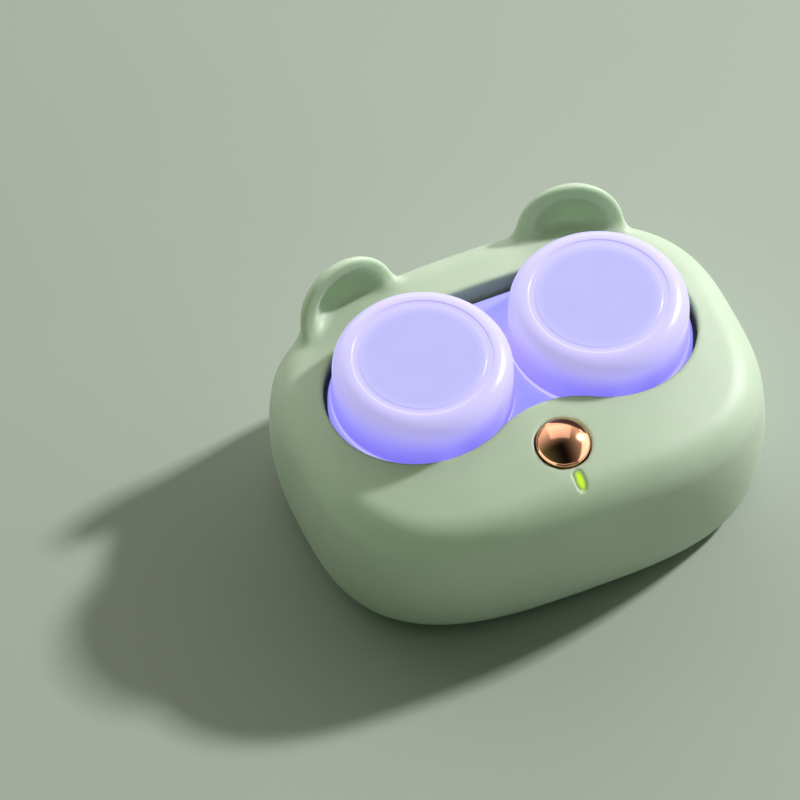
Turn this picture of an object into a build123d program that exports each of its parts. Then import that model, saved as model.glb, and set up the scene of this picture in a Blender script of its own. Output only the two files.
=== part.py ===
"""Contact lens cleaner: a rounded table-top case with two small ears, which shakes a lens case by ultrasound.

Millimetres. Z is up and the feet stand on z = 0. X runs to the right and Y to the back. The origin lies under
the middle of the case. Every other place follows from the two screw caps, which the case is built around.
"""
import math
import os

from build123d import *

# ---- Screw caps and the lens case that they close --------------------------------------------------
cap_radius = 15.0            # at the lip round the cap's foot
cap_gap = 1.3                # between the two caps
cap_height = 10.5
cap_skirt_step = 0.2         # the skirt stands back from the lip
cap_lip_height = 1.1
cap_lip_round = 0.25
cap_shoulder_width = 3.0
cap_shoulder_height = 3.2
cap_groove_inner = 10.2      # radii of the shallow ring groove in the cap's top
cap_groove_outer = 11.35
cap_groove_depth = 0.45
cap_centre_drop = 0.25       # the middle of the top lies lower than the rim
cap_skirt_wall = 1.4
cap_top_wall = 1.65
cap_foot_gap = 0.3           # between the cap's foot and the plate under it
neck_clearance = 0.8         # room for the thread between neck and cap
neck_wall = 1.4
seal_thickness = 0.9
seal_inset = 0.3             # the seal is this much narrower than the neck, inside
seal_lap = 0.3               # and this much wider outside
plate_thickness = 1.8
plate_gap = 0.7              # round the lens case, inside the recess
well_drop = 7.4              # from the plate's top down to the well's foot
well_floor = 1.4
well_wall = 1.2
well_dish_radius = 24.0      # the well's floor is a shallow dish
well_foot_width = 3.0

# ---- Recess in the top of the case -----------------------------------------------------------------
opening_gap = 1.2            # round the caps
opening_back = 15.0          # from the cap axes to the straight rear edge
opening_front_dip = 3.85     # the front edge bulges back between the caps by this much
opening_corner = 4.0
opening_edge_round = 0.5
plate_sink = 5.8             # from the crest of the case down to the plate
collar_wall = 1.4
seat_gap = 0.3               # between the plate and the tray's rim
tray_rim_thickness = 1.2
tray_wall = 1.2
tray_floor = 1.2
tray_mouth_inset = 2.2       # from the opening in to the inside of the tray's tub
lug_radius = 2.8
lug_reach = 1.6              # from the rim's edge out to the lug's hole
lug_rear_x = 10.0
boss_notch_gap = 0.3         # round the case's bosses, in the tray's rim

# ---- Ultrasonic drive under each well --------------------------------------------------------------
sounder_radius = 12.0
sounder_thickness = 0.8
gasket_width = 1.8
gasket_thickness = 0.8
window_gap = 0.2             # the window in the tray is narrower than the gasket's bore
piezo_radius = 8.0
piezo_thickness = 1.0

# ---- Outside of the case ---------------------------------------------------------------------------
side_margin = 7.65           # from the opening to the side of the case
front_margin = 17.0
rear_margin = 11.3
widest_shift = 1.46          # the widest section lies behind the middle
outline_power = 3.0          # 2 would be an ellipse, and more is boxier
outline_count = 24
belly_height = 14.0          # where the flanks stand furthest out
flank_radius = 53.0
crown_front_radius = 70.0    # the top falls faster in front of its crest than behind
crown_rear_radius = 150.0
crown_side_radius = 150.0
crest_setback = 22.9         # from the front of the case to the crest
shoulder_radius = 8.0
keel_radius = 3.0
wall = 2.0
wall_cut = 5.0               # openings are cut from this far inside the case's surface
crown_reach = 24.0           # degrees that the crown is swept to each side
crown_overrun = 8.0          # degrees that its arcs run past the front and the back of the case
form_headroom = 2.0          # the case is lofted this far past its crest and then cut by the crown

# ---- Ears ------------------------------------------------------------------------------------------
ear_radius = 9.2
ear_spread = 19.7            # from the middle to the ear's axis
ear_inboard = 5.95           # from the back of the case in to the ear's rim
ear_drop = 4.6               # from the crest down to the ear's axis
ear_turn = 12.0
ear_lean = 17.0              # the ears lean back from the upright
ear_depth = 4.8
ear_skirt = 1.4
ear_rim_width = 2.5
ear_hollow_depth = 3.5
ear_rim_round = 0.6
ear_root = 5.0               # the ear's section runs this far down into the case

# ---- Button and light ------------------------------------------------------------------------------
button_radius = 4.45
button_setback = 12.25       # from the front of the case to the button's axis
button_gap = 0.25
button_dome = 1.7
button_rim = 0.15            # the dome's edge stands this much proud of the case
button_wall = 0.9
button_lip_width = 0.9
button_lip_length = 4.0      # the lip is two tabs, left and right
button_lip_thickness = 0.8
button_lip_gap = 0.6         # from the inside of the case down to the lip
button_travel = 0.5
stem_radius = 1.5
stem_drop = 1.6
switch_side = 6.0
switch_height = 3.5
switch_base_chamfer = 0.4
plunger_radius = 1.7
plunger_proud = 1.6
plunger_sunk = 1.0
plunger_gap = 0.3
board_thickness = 1.0
switch_board_half_width = 9.2
switch_board_front = 9.8     # from the button's axis
switch_board_rear = 3.6
switch_post_spread = 7.2
switch_post_front = 3.0
switch_post_radius = 1.7
indicator_front = 6.95       # from the button's axis to the middle of the light
indicator_length = 3.1
indicator_width = 1.4
indicator_flange = 1.0
indicator_gap = 0.15
indicator_led_length = 2.0
indicator_led_width = 1.25
indicator_led_height = 0.8
light_gap = 0.3              # between a light and the piece that it shines into

# ---- Bottom ----------------------------------------------------------------------------------------
foot_stand = 1.0             # from the table up to the cover
foot_radius = 4.0
foot_sunk = 0.6
foot_round = 0.4
front_foot_side_inset = 23.0
front_foot_inset = 11.25
rear_foot_side_inset = 14.5
rear_foot_inset = 17.25
cover_thickness = 2.2
cover_gap = 0.2
cover_land = 0.3             # flat edge of the case between its rounded keel and the cover
boss_radius = 2.8
front_boss_side_inset = 13.5
front_boss_inset = 12.75
rear_boss_side_inset = 19.3
rear_boss_inset = 9.3
pilot_depth = 7.0
thread_gap = 0.05            # screws are drawn at the thread's root, this far clear of their holes
screw_radius = 1.1
screw_head_radius = 1.9
screw_head_height = 1.2
screw_head_round = 0.3
screw_length = 7.0
screw_clearance = 0.25
counterbore_depth = 1.3
bay_height = 11.0            # room for the electronics between the cover and the tray

# ---- Electronics -----------------------------------------------------------------------------------
main_board_width = 34.0
main_board_depth = 22.0
main_board_rear_gap = 2.0
main_board_thickness = 1.2
main_board_lift = 2.4
post_radius = 2.2
post_inset = 3.2
small_screw_radius = 0.8
small_head_radius = 1.6
small_head_height = 0.9
small_screw_length = 3.4
small_pilot_depth = 3.0
usb_width = 8.94
usb_height = 3.2
usb_length = 7.35
usb_shell = 0.3
usb_mouth_depth = 5.6
usb_tongue_width = 6.7
usb_tongue_height = 0.7
usb_tongue_back = 1.0
usb_recess = 1.0             # from the outside of the case in to the socket's mouth
usb_port_gap = 0.3
battery_width = 36.0
battery_depth = 18.0
battery_height = 5.0
battery_front_gap = 4.0
battery_round = 1.2
battery_edge_round = 0.6
pad_thickness = 0.5
pad_inset = 2.0
rib_thickness = 1.0
rib_height = 3.0
rib_length = 8.0
rib_gap = 0.3                # between the battery and the ribs that keep it in place
lead_radius = 0.4
lead_spacing = 2.0
sounder_lead_x = 14.6        # from the middle, between each pair
sounder_lead_setback = 6.6   # behind the line of the caps
light_lead_setback = 6.0
battery_lead_x = -8.4
battery_lead_z = 7.4
battery_lead_lap = 1.2       # from the front edge of the main board
switch_lead_x = 7.6
switch_lead_setback = 1.4    # from the rear edge of the switch board
switch_lead_stub = 1.0
switch_lead_z = 10.6
chip_side = 5.0
chip_height = 0.9
coil_radius = 3.4
coil_height = 3.0
capacitor_length = 3.2
capacitor_width = 1.6
capacitor_height = 1.4
capacitor_count = 4
capacitor_pitch = 3.4
light_board_width = 8.0
light_board_depth = 20.0
light_board_shift = 1.0      # behind the line of the caps
light_post_inset = 2.4
light_post_radius = 1.6
light_pilot_depth = 1.9
light_screw_length = 2.6
led_count = 3
led_pitch = 4.4
led_length = 3.5
led_width = 2.8
led_height = 1.0

# ---- Worked out from the sizes above ---------------------------------------------------------------
cap_pitch = 2 * cap_radius + cap_gap
cap_x = cap_pitch / 2
opening_radius = cap_radius + opening_gap
body_width = 2 * (cap_x + opening_radius + side_margin)
body_depth = front_margin + opening_radius + opening_back + rear_margin
front_y = -body_depth / 2
rear_y = body_depth / 2
cap_y = front_y + front_margin + opening_radius
opening_rear = cap_y + opening_back
opening_dip = cap_y - opening_radius + opening_front_dip

cover_top = foot_stand + cover_thickness
tray_bottom = cover_top + bay_height
tray_floor_top = tray_bottom + tray_floor
sounder_bottom = tray_floor_top + gasket_thickness
well_foot = sounder_bottom + sounder_thickness
plate_top = well_foot + well_drop
plate_bottom = plate_top - plate_thickness
rim_top = plate_bottom - seat_gap
crest_z = plate_top + plate_sink
crest_y = front_y + crest_setback

cap_foot = plate_top + cap_foot_gap
cap_ceiling = cap_foot + cap_height - cap_centre_drop - cap_top_wall
cap_bore = cap_radius - cap_skirt_step - cap_skirt_wall
neck_radius = cap_bore - neck_clearance
neck_top = cap_ceiling - seal_thickness
well_radius = neck_radius - neck_wall
sides = {"left": -cap_x, "right": cap_x}

# The front edge between the caps is an arc that touches both cap arcs, so its radius follows from them.
dip_height = cap_y - opening_dip
dip_radius = (cap_x**2 + dip_height**2 - opening_radius**2) / (2 * (opening_radius - dip_height))
dip_y = opening_dip - dip_radius


def recess_face(grow):
    """Return the recess's outline, grown outwards by some millimetres, with its rear corners rounded."""
    arc = opening_radius + grow
    reach = opening_radius + dip_radius
    touch_x = cap_x - arc * cap_x / reach
    touch_y = cap_y - arc * (cap_y - dip_y) / reach
    rear = opening_rear + grow
    trim_width = 2 * (cap_x + arc)
    with BuildSketch() as face:
        with Locations((-cap_x, cap_y), (cap_x, cap_y)):
            Circle(arc)
        with BuildLine():
            Polyline((-cap_x, rear), (-cap_x, cap_y), (-touch_x, touch_y), (touch_x, touch_y), (cap_x, cap_y),
                     (cap_x, rear), close=True)
        make_face()
        with Locations((0, dip_y)):
            Circle(dip_radius - grow, mode=Mode.SUBTRACT)
        with Locations((0, rear)):
            Rectangle(trim_width, arc, align=(Align.CENTER, Align.MIN), mode=Mode.SUBTRACT)
        fillet(face.vertices().group_by(Axis.Y)[-1], opening_corner + grow)
    return face.sketch


def case_outline(inset):
    """Return points round the case's rounded-box outline, drawn in by some millimetres."""
    half_width = body_width / 2 - inset
    points = []
    for k in range(outline_count):
        angle = 2 * math.pi * k / outline_count
        along, across = math.cos(angle), math.sin(angle)
        half_depth = body_depth / 2 - inset - math.copysign(widest_shift, across)
        size = (abs(along) / half_width)**outline_power + (abs(across) / half_depth)**outline_power
        reach = size**(-1 / outline_power)
        points.append((reach * along, widest_shift + reach * across))
    return points


def flank_inset(z):
    """Return how far the flank has drawn in from its widest section at a height."""
    return flank_radius - math.sqrt(flank_radius**2 - (z - belly_height)**2)


def crown_block(inset):
    """Return a block whose top is the crown: two arcs from front to back, swept from side to side."""
    axis_z = crest_z - crown_side_radius
    tilt = math.radians(crown_reach)
    start = Plane(origin=(0, 0, axis_z), x_dir=(0, 1, 0), z_dir=(math.cos(tilt), 0, math.sin(tilt)))
    front_turn = math.degrees(math.asin((crest_y - front_y) / crown_front_radius)) + crown_overrun
    rear_turn = math.degrees(math.asin((rear_y - crest_y) / crown_rear_radius)) + crown_overrun
    with BuildPart() as block:
        with BuildSketch(start):
            with BuildLine():
                front = CenterArc((crest_y, crown_side_radius - crown_front_radius),
                                  crown_front_radius - inset, 90, front_turn)
                rear = CenterArc((crest_y, crown_side_radius - crown_rear_radius),
                                 crown_rear_radius - inset, 90, -rear_turn)
                low = -axis_z - foot_stand
                Polyline(front @ 1, ((front @ 1).X, low), ((rear @ 1).X, low), rear @ 1)
            make_face()
        revolve(axis=Axis((0, 0, axis_z), (0, 1, 0)), revolution_arc=2 * crown_reach)
    return block.part


def case_form(inset, bottom, bottom_round=0.0):
    """Return the case's solid form, drawn in by some millimetres, standing on a flat bottom."""
    top = crest_z + form_headroom
    with BuildPart() as form:
        for z in (bottom, (bottom + belly_height) / 2, belly_height, (belly_height + top) / 2, top):
            with BuildSketch(Plane.XY.offset(z)):
                with BuildLine():
                    Spline(*case_outline(inset + flank_inset(z)), periodic=True)
                make_face()
        loft()
        add(crown_block(inset), mode=Mode.INTERSECT)
        rim = form.edges().filter_by(lambda edge: edge.center().Z > belly_height + shoulder_radius / 2)
        fillet(rim.filter_by(lambda edge: edge.bounding_box().size.Y > 1), shoulder_radius - inset)
        if bottom_round:
            fillet(form.faces().sort_by(Axis.Z)[0].edges(), bottom_round)
    return form.part


def on_plane(plane, x, y, z=0.0):
    """Return the place of a point that is given in a plane's own directions."""
    return plane.from_local_coords((x, y, z))


def tube(outer, inner, low, high, x, y):
    """Return a plain ring standing between two heights."""
    with BuildPart() as ring:
        with BuildSketch(Plane.XY.offset(low)):
            with Locations((x, y)):
                Circle(outer)
                Circle(inner, mode=Mode.SUBTRACT)
        extrude(amount=high - low)
    return ring.part


def screw(at, shank_radius, head_radius, head_height, length):
    """Return a pan-head screw whose head's seat lies on a plane and whose shank runs along the plane's Z."""
    with BuildPart() as body:
        with BuildSketch(at):
            Circle(shank_radius)
        extrude(amount=length)
        with BuildSketch(at):
            Circle(head_radius)
        extrude(amount=-head_height)
        fillet(body.edges().filter_by(GeomType.CIRCLE).sort_by(
            lambda edge: at.to_local_coords(edge.center()).Z)[0], screw_head_round)
    return body.part


def lead_pair(*path):
    """Return two wires side by side, which follow a path of straight runs about their middle line."""
    with BuildPart() as wires:
        for shift in (-lead_spacing / 2, lead_spacing / 2):
            points = [Vector(x + shift, y, z) for x, y, z in path]
            with BuildLine() as line:
                Polyline(*points)
            with BuildSketch(Plane(origin=points[0], z_dir=points[1] - points[0])):
                Circle(lead_radius)
            sweep(path=line.line, transition=Transition.RIGHT)
    return wires.part


# ---- Places that several pieces share --------------------------------------------------------------
boss_places = [(side * (body_width / 2 - front_boss_side_inset), front_y + front_boss_inset) for side in (-1, 1)]
boss_places += [(side * (body_width / 2 - rear_boss_side_inset), rear_y - rear_boss_inset) for side in (-1, 1)]
foot_places = [(side * (body_width / 2 - front_foot_side_inset), front_y + front_foot_inset) for side in (-1, 1)]
foot_places += [(side * (body_width / 2 - rear_foot_side_inset), rear_y - rear_foot_inset) for side in (-1, 1)]
cover_inset = flank_inset(foot_stand) + keel_radius + cover_land

lug_setout = collar_wall + lug_reach
lug_places = [(side * cap_x, cap_y - opening_radius - lug_setout) for side in (-1, 1)]
lug_places += [(side * lug_rear_x, opening_rear + lug_setout) for side in (-1, 1)]
rim_bottom = rim_top - tray_rim_thickness

button_y = front_y + button_setback
button_tilt = math.asin((crest_y - button_y) / crown_front_radius)
button_z = crest_z - crown_front_radius * (1 - math.cos(button_tilt))
button_plane = Plane(origin=(0, button_y, button_z), x_dir=(1, 0, 0),
                     z_dir=(0, -math.sin(button_tilt), math.cos(button_tilt)))
lip_top = -wall - button_lip_gap
lip_bottom = lip_top - button_lip_thickness
stem_bottom = lip_bottom - stem_drop
switch_top = stem_bottom - plunger_proud
switch_board_top = switch_top - switch_height
switch_board_bottom = switch_board_top - board_thickness
switch_posts = [(side * switch_post_spread, -switch_post_front) for side in (-1, 1)]
indicator_led_top = switch_board_top + indicator_led_height

main_board_bottom = cover_top + main_board_lift
main_board_top = main_board_bottom + main_board_thickness
main_board_rear = rear_y - wall - main_board_rear_gap
main_board_y = main_board_rear - main_board_depth / 2
post_x = main_board_width / 2 - post_inset
post_reach = main_board_depth / 2 - post_inset
post_places = [(side * post_x, main_board_y + end * post_reach) for side in (-1, 1) for end in (-1, 1)]
usb_z = main_board_top + usb_height / 2
usb_mouth_y = rear_y - flank_inset(usb_z) - usb_recess
battery_y = front_y + wall + battery_front_gap + battery_depth / 2
battery_bottom = cover_top + pad_thickness
chip_x = main_board_width / 4
coil_x = main_board_width / 4
chip_y = main_board_y
battery_rear = battery_y + battery_depth / 2
board_lead_y = main_board_rear - main_board_depth + battery_lead_lap
rib_places = [(side * (battery_width / 2 + rib_gap + rib_thickness / 2), battery_y) for side in (-1, 1)]
cross_rib_places = [(0, battery_y + end * (battery_depth / 2 + rib_gap + rib_thickness / 2)) for end in (-1, 1)]
capacitor_y = main_board_y - main_board_depth / 2 + capacitor_length

light_board_top = tray_bottom - light_gap - led_height
light_board_bottom = light_board_top - board_thickness
light_board_y = cap_y + light_board_shift
light_post_reach = light_board_depth / 2 - light_post_inset
light_posts = [(0, light_board_y + end * light_post_reach) for end in (-1, 1)]


# ---- Top shell: case wall, ears, collar round the recess, and the bosses under it -------------------
outer_form = case_form(0, foot_stand, keel_radius)


def ear(side):
    """Return one ear: half a round dish, hollow to the front, whose section runs straight down into the case."""
    turn = side * math.radians(ear_turn)
    lean = math.radians(ear_lean)
    along = Vector(math.cos(turn), -math.sin(turn), 0)
    up = Vector(math.sin(turn) * math.sin(lean), math.cos(turn) * math.sin(lean), math.cos(lean))
    origin = Vector(side * ear_spread, rear_y - ear_inboard, crest_z - ear_drop)
    level = Plane(origin=origin, x_dir=along, z_dir=up)
    with BuildSketch() as profile:
        with BuildLine():
            hollow = TangentArc((0, ear_hollow_depth), (ear_radius - ear_rim_width, 0), tangent=(1, 0))
            shell = TangentArc((0, ear_depth), (ear_radius, ear_skirt), tangent=(1, 0))
            Polyline(hollow @ 1, (ear_radius, 0), shell @ 1)
            Line(hollow @ 0, shell @ 0)
        make_face()
        fillet(profile.vertices().sort_by(Axis.X)[-3:], ear_rim_round)
    with BuildPart() as dish:
        with BuildSketch(level):
            add(profile.sketch)
        revolve(axis=Axis(origin, level.y_dir), revolution_arc=-180)
        with BuildSketch(level):
            add(profile.sketch)
            mirror(profile.sketch, about=Plane.YZ)
        extrude(amount=-ear_root)
    return dish.part


# What is air inside the shell: the hollow without the collar, bosses and posts, and every hole through it.
with BuildPart() as cavity:
    add(case_form(wall, cover_top))
    with BuildSketch(Plane.XY.offset(rim_top)):
        add(recess_face(collar_wall))
        with Locations(*lug_places):
            Circle(lug_radius)
    extrude(amount=crest_z - rim_top, mode=Mode.SUBTRACT)
    with BuildSketch(Plane.XY.offset(cover_top)):
        with Locations(*boss_places):
            Circle(boss_radius)
    extrude(amount=crest_z - cover_top, mode=Mode.SUBTRACT)
    with BuildSketch(button_plane.offset(switch_board_top)):
        with Locations(*switch_posts):
            Circle(switch_post_radius)
    extrude(amount=-switch_board_top, mode=Mode.SUBTRACT)
    with BuildSketch(Plane.XY.offset(foot_stand - wall)):
        with BuildLine():
            Spline(*case_outline(cover_inset), periodic=True)
        make_face()
    extrude(amount=cover_thickness + wall)
    with BuildSketch(button_plane.offset(-wall_cut)):
        Circle(button_radius + button_gap)
        with Locations((0, -indicator_front)):
            SlotOverall(indicator_length + 2 * indicator_gap, indicator_width + 2 * indicator_gap, rotation=90)
    extrude(amount=wall_cut + wall)
    with BuildSketch(Plane(origin=(0, rear_y + wall, usb_z), x_dir=(1, 0, 0), z_dir=(0, -1, 0))):
        SlotOverall(usb_width + 2 * usb_port_gap, usb_height + 2 * usb_port_gap)
    extrude(amount=wall_cut + wall)
    with BuildSketch(Plane.XY.offset(cover_top)):
        with Locations(*boss_places):
            Circle(screw_radius + thread_gap)
    extrude(amount=pilot_depth)
    with BuildSketch(Plane.XY.offset(rim_top)):
        with Locations(*lug_places):
            Circle(small_screw_radius + thread_gap)
    extrude(amount=small_pilot_depth)
    with BuildSketch(button_plane.offset(switch_board_top)):
        with Locations(*switch_posts):
            Circle(small_screw_radius + thread_gap)
    extrude(amount=small_pilot_depth)

with BuildPart() as top_shell:
    add(outer_form)
    with BuildSketch(Plane.XY.offset(rim_bottom)):
        add(recess_face(0))
    extrude(amount=crest_z, mode=Mode.SUBTRACT)
    lip = top_shell.edges(Select.LAST).filter_by(lambda edge: edge.center().Z > rim_top)
    fillet(lip.filter_by(Axis.Z, reverse=True), opening_edge_round)
    for side in (-1, 1):
        add(ear(side))
    add(cavity.part, mode=Mode.SUBTRACT)
top_shell.part.label = "top_shell"

# ---- Base cover: floor of the case, with screw wells, foot recesses and board posts -----------------
with BuildPart() as base_cover:
    with BuildSketch(Plane.XY.offset(foot_stand)):
        with BuildLine():
            Spline(*case_outline(cover_inset + cover_gap), periodic=True)
        make_face()
    extrude(amount=cover_thickness)
    with BuildSketch(Plane.XY.offset(cover_top)):
        with Locations(*post_places):
            Circle(post_radius)
    extrude(amount=main_board_lift)
    with BuildSketch(Plane.XY.offset(cover_top)):
        with Locations(*rib_places):
            Rectangle(rib_thickness, rib_length)
        with Locations(*cross_rib_places):
            Rectangle(rib_length, rib_thickness)
    extrude(amount=rib_height)
    with BuildSketch(Plane.XY.offset(foot_stand)):
        with Locations(*foot_places):
            Circle(foot_radius + cover_gap)
    extrude(amount=foot_sunk, mode=Mode.SUBTRACT)
    with BuildSketch(Plane.XY.offset(foot_stand)):
        with Locations(*boss_places):
            Circle(screw_radius + screw_clearance)
    extrude(amount=cover_thickness, mode=Mode.SUBTRACT)
    with BuildSketch(Plane.XY.offset(foot_stand)):
        with Locations(*boss_places):
            Circle(screw_head_radius + screw_clearance)
    extrude(amount=counterbore_depth, mode=Mode.SUBTRACT)
    with BuildSketch(Plane.XY.offset(main_board_bottom)):
        with Locations(*post_places):
            Circle(small_screw_radius + thread_gap)
    extrude(amount=-small_pilot_depth, mode=Mode.SUBTRACT)
base_cover.part.label = "base_cover"

with BuildPart() as rubber_feet:
    with BuildSketch():
        with Locations(*foot_places):
            Circle(foot_radius)
    extrude(amount=foot_stand + foot_sunk)
    fillet(rubber_feet.edges().group_by(Axis.Z)[0], foot_round)
rubber_feet.part.label = "rubber_feet"

with BuildPart() as case_screws:
    for x, y in boss_places:
        add(screw(Plane(origin=(x, y, foot_stand + counterbore_depth)), screw_radius, screw_head_radius,
                  screw_head_height, screw_length))
case_screws.part.label = "case_screws"

# ---- Tray: the tub that the lens case sits in, screwed under the collar ------------------------------
with BuildPart() as recess_tray:
    with BuildSketch(Plane.XY.offset(rim_bottom)):
        add(recess_face(collar_wall))
        with Locations(*lug_places):
            Circle(lug_radius)
        with Locations(*boss_places):
            Circle(boss_radius + boss_notch_gap, mode=Mode.SUBTRACT)
    extrude(amount=tray_rim_thickness)
    with BuildSketch(Plane.XY.offset(tray_bottom)):
        add(recess_face(tray_wall - tray_mouth_inset))
    extrude(amount=rim_top - tray_bottom)
    with BuildSketch(Plane.XY.offset(tray_floor_top)):
        add(recess_face(-tray_mouth_inset))
    extrude(amount=rim_top - tray_floor_top, mode=Mode.SUBTRACT)
    with BuildSketch(Plane.XY.offset(light_board_top)):
        with Locations(*light_posts):
            Circle(light_post_radius)
    extrude(amount=tray_bottom - light_board_top)
    with BuildSketch(Plane.XY.offset(tray_bottom)):
        with Locations((-cap_x, cap_y), (cap_x, cap_y)):
            Circle(sounder_radius - gasket_width - window_gap)
    extrude(amount=tray_floor, mode=Mode.SUBTRACT)
    with BuildSketch(Plane.XY.offset(rim_bottom)):
        with Locations(*lug_places):
            Circle(small_screw_radius + cover_gap)
    extrude(amount=tray_rim_thickness, mode=Mode.SUBTRACT)
    with BuildSketch(Plane.XY.offset(light_board_top)):
        with Locations(*light_posts):
            Circle(small_screw_radius + thread_gap)
    extrude(amount=light_pilot_depth, mode=Mode.SUBTRACT)
recess_tray.part.label = "recess_tray"

with BuildPart() as tray_screws:
    for x, y in lug_places:
        add(screw(Plane(origin=(x, y, rim_bottom)), small_screw_radius, small_head_radius, small_head_height,
                  small_screw_length))
tray_screws.part.label = "tray_screws"

# ---- Lens case: a plate that carries two threaded necks and the wells under them ---------------------
with BuildPart() as lens_case:
    with BuildSketch(Plane.XY.offset(plate_bottom)):
        add(recess_face(-plate_gap))
    extrude(amount=plate_thickness)
    fillet(lens_case.faces().sort_by(Axis.Z)[-1].edges(), opening_edge_round)
    for x in sides.values():
        with BuildSketch(Plane(origin=(x, cap_y, 0), x_dir=(1, 0, 0), z_dir=(0, -1, 0))):
            with BuildLine():
                well_top = plate_bottom + plate_thickness / 2
                outer = well_radius + well_wall
                foot = TangentArc((outer - well_foot_width, well_foot), (outer, well_foot + well_foot_width),
                                  tangent=(1, 0))
                Polyline((0, well_foot), foot @ 0)
                Polyline(foot @ 1, (outer, well_top), (neck_radius, well_top), (neck_radius, neck_top),
                         (0, neck_top), (0, well_foot))
            make_face()
        revolve(axis=Axis((x, cap_y, 0), (0, 0, 1)))
    for x in sides.values():
        with BuildSketch(Plane(origin=(x, cap_y, 0), x_dir=(1, 0, 0), z_dir=(0, -1, 0))):
            with BuildLine():
                rise = well_dish_radius - math.sqrt(well_dish_radius**2 - well_radius**2)
                dish = RadiusArc((0, well_foot + well_floor), (well_radius, well_foot + well_floor + rise),
                                 -well_dish_radius)
                Polyline(dish @ 1, (well_radius, neck_top), (0, neck_top), dish @ 0)
            make_face()
        revolve(axis=Axis((x, cap_y, 0), (0, 0, 1)), mode=Mode.SUBTRACT)
lens_case.part.label = "lens_case"


def cap(x):
    """Return one screw cap, turned about its axis."""
    skirt = cap_radius - cap_skirt_step
    top = cap_foot + cap_height
    lip_top = cap_foot + cap_lip_height
    with BuildPart() as body:
        with BuildSketch(Plane(origin=(x, cap_y, 0), x_dir=(1, 0, 0), z_dir=(0, -1, 0))) as profile:
            with BuildLine():
                shoulder = EllipticalCenterArc((skirt - cap_shoulder_width, top - cap_shoulder_height),
                                               cap_shoulder_width, cap_shoulder_height, 0, arc_size=90)
                groove_middle = (cap_groove_inner + cap_groove_outer) / 2
                groove = ThreePointArc((cap_groove_outer, top), (groove_middle, top - cap_groove_depth),
                                       (cap_groove_inner, top - cap_centre_drop))
                Polyline((0, cap_ceiling), (cap_bore, cap_ceiling), (cap_bore, cap_foot), (cap_radius, cap_foot),
                         (cap_radius, lip_top), (skirt, lip_top + cap_skirt_step), shoulder @ 0)
                Line(shoulder @ 1, groove @ 0)
                Polyline(groove @ 1, (0, top - cap_centre_drop), (0, cap_ceiling))
            make_face()
        revolve(axis=Axis((x, cap_y, 0), (0, 0, 1)))
        fillet(body.edges().filter_by(GeomType.CIRCLE).filter_by(
            lambda edge: abs(edge.radius - cap_radius) < cap_skirt_step / 2), cap_lip_round)
    return body.part


caps = {}
seals = {}
gaskets = {}
sounders = {}
piezo_discs = {}
for side, x in sides.items():
    with BuildPart() as one_cap:
        add(cap(x))
    caps[side] = one_cap.part
    caps[side].label = f"{side}_cap"

    with BuildPart() as one_seal:
        add(tube(neck_radius + seal_lap, well_radius - seal_inset, neck_top, cap_ceiling, x, cap_y))
    seals[side] = one_seal.part
    seals[side].label = f"{side}_cap_seal"

    with BuildPart() as one_gasket:
        add(tube(sounder_radius, sounder_radius - gasket_width, tray_floor_top, sounder_bottom, x, cap_y))
    gaskets[side] = one_gasket.part
    gaskets[side].label = f"{side}_plate_gasket"

    with BuildPart() as one_sounder:
        with BuildSketch(Plane.XY.offset(sounder_bottom)):
            with Locations((x, cap_y)):
                Circle(sounder_radius)
        extrude(amount=sounder_thickness)
    sounders[side] = one_sounder.part
    sounders[side].label = f"{side}_vibration_plate"

    with BuildPart() as one_disc:
        with BuildSketch(Plane.XY.offset(sounder_bottom - piezo_thickness)):
            with Locations((x, cap_y)):
                Circle(piezo_radius)
        extrude(amount=piezo_thickness)
    piezo_discs[side] = one_disc.part
    piezo_discs[side].label = f"{side}_piezo_disc"

# ---- Button, its switch, and the light in front of it ------------------------------------------------
with BuildPart() as button_cap:
    side_plane = Plane(origin=button_plane.origin, x_dir=(1, 0, 0), z_dir=-button_plane.y_dir)
    with BuildSketch(side_plane):
        with BuildLine():
            dome = TangentArc((0, button_dome), (button_radius, button_rim), tangent=(1, 0))
            hollow_top = button_rim - button_wall
            hollow_radius = button_radius - button_wall
            Polyline(dome @ 1, (button_radius, lip_bottom), (hollow_radius, lip_bottom),
                     (hollow_radius, hollow_top), (stem_radius, hollow_top), (stem_radius, stem_bottom),
                     (0, stem_bottom), dome @ 0)
        make_face()
    revolve(axis=Axis(button_plane.origin, button_plane.z_dir))
    with BuildSketch(button_plane.offset(lip_bottom)):
        Circle(button_radius + button_lip_width)
        Rectangle(2 * (button_radius + button_lip_width), button_lip_length, mode=Mode.INTERSECT)
        Circle(hollow_radius, mode=Mode.SUBTRACT)
    extrude(amount=button_lip_thickness)
button_cap.part.label = "button_cap"

with BuildPart() as switch_plunger:
    with BuildSketch(button_plane.offset(switch_top - plunger_sunk)):
        Circle(plunger_radius)
    extrude(amount=plunger_sunk + plunger_proud)
switch_plunger.part.label = "switch_plunger"

with BuildPart() as tact_switch:
    with BuildSketch(button_plane.offset(switch_board_top)) as outline:
        Rectangle(switch_side, switch_side)
        chamfer(outline.vertices(), switch_base_chamfer)
    extrude(amount=switch_height)
    with BuildSketch(button_plane.offset(switch_top)):
        Circle(plunger_radius + plunger_gap)
    extrude(amount=-(plunger_sunk + button_travel + plunger_gap), mode=Mode.SUBTRACT)
tact_switch.part.label = "tact_switch"

with BuildPart() as switch_board:
    with BuildSketch(button_plane.offset(switch_board_bottom)):
        with Locations((0, (switch_board_rear - switch_board_front) / 2)):
            Rectangle(2 * switch_board_half_width, switch_board_front + switch_board_rear)
        with Locations(*switch_posts):
            Circle(small_screw_radius + cover_gap, mode=Mode.SUBTRACT)
    extrude(amount=board_thickness)
switch_board.part.label = "switch_board"

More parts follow.
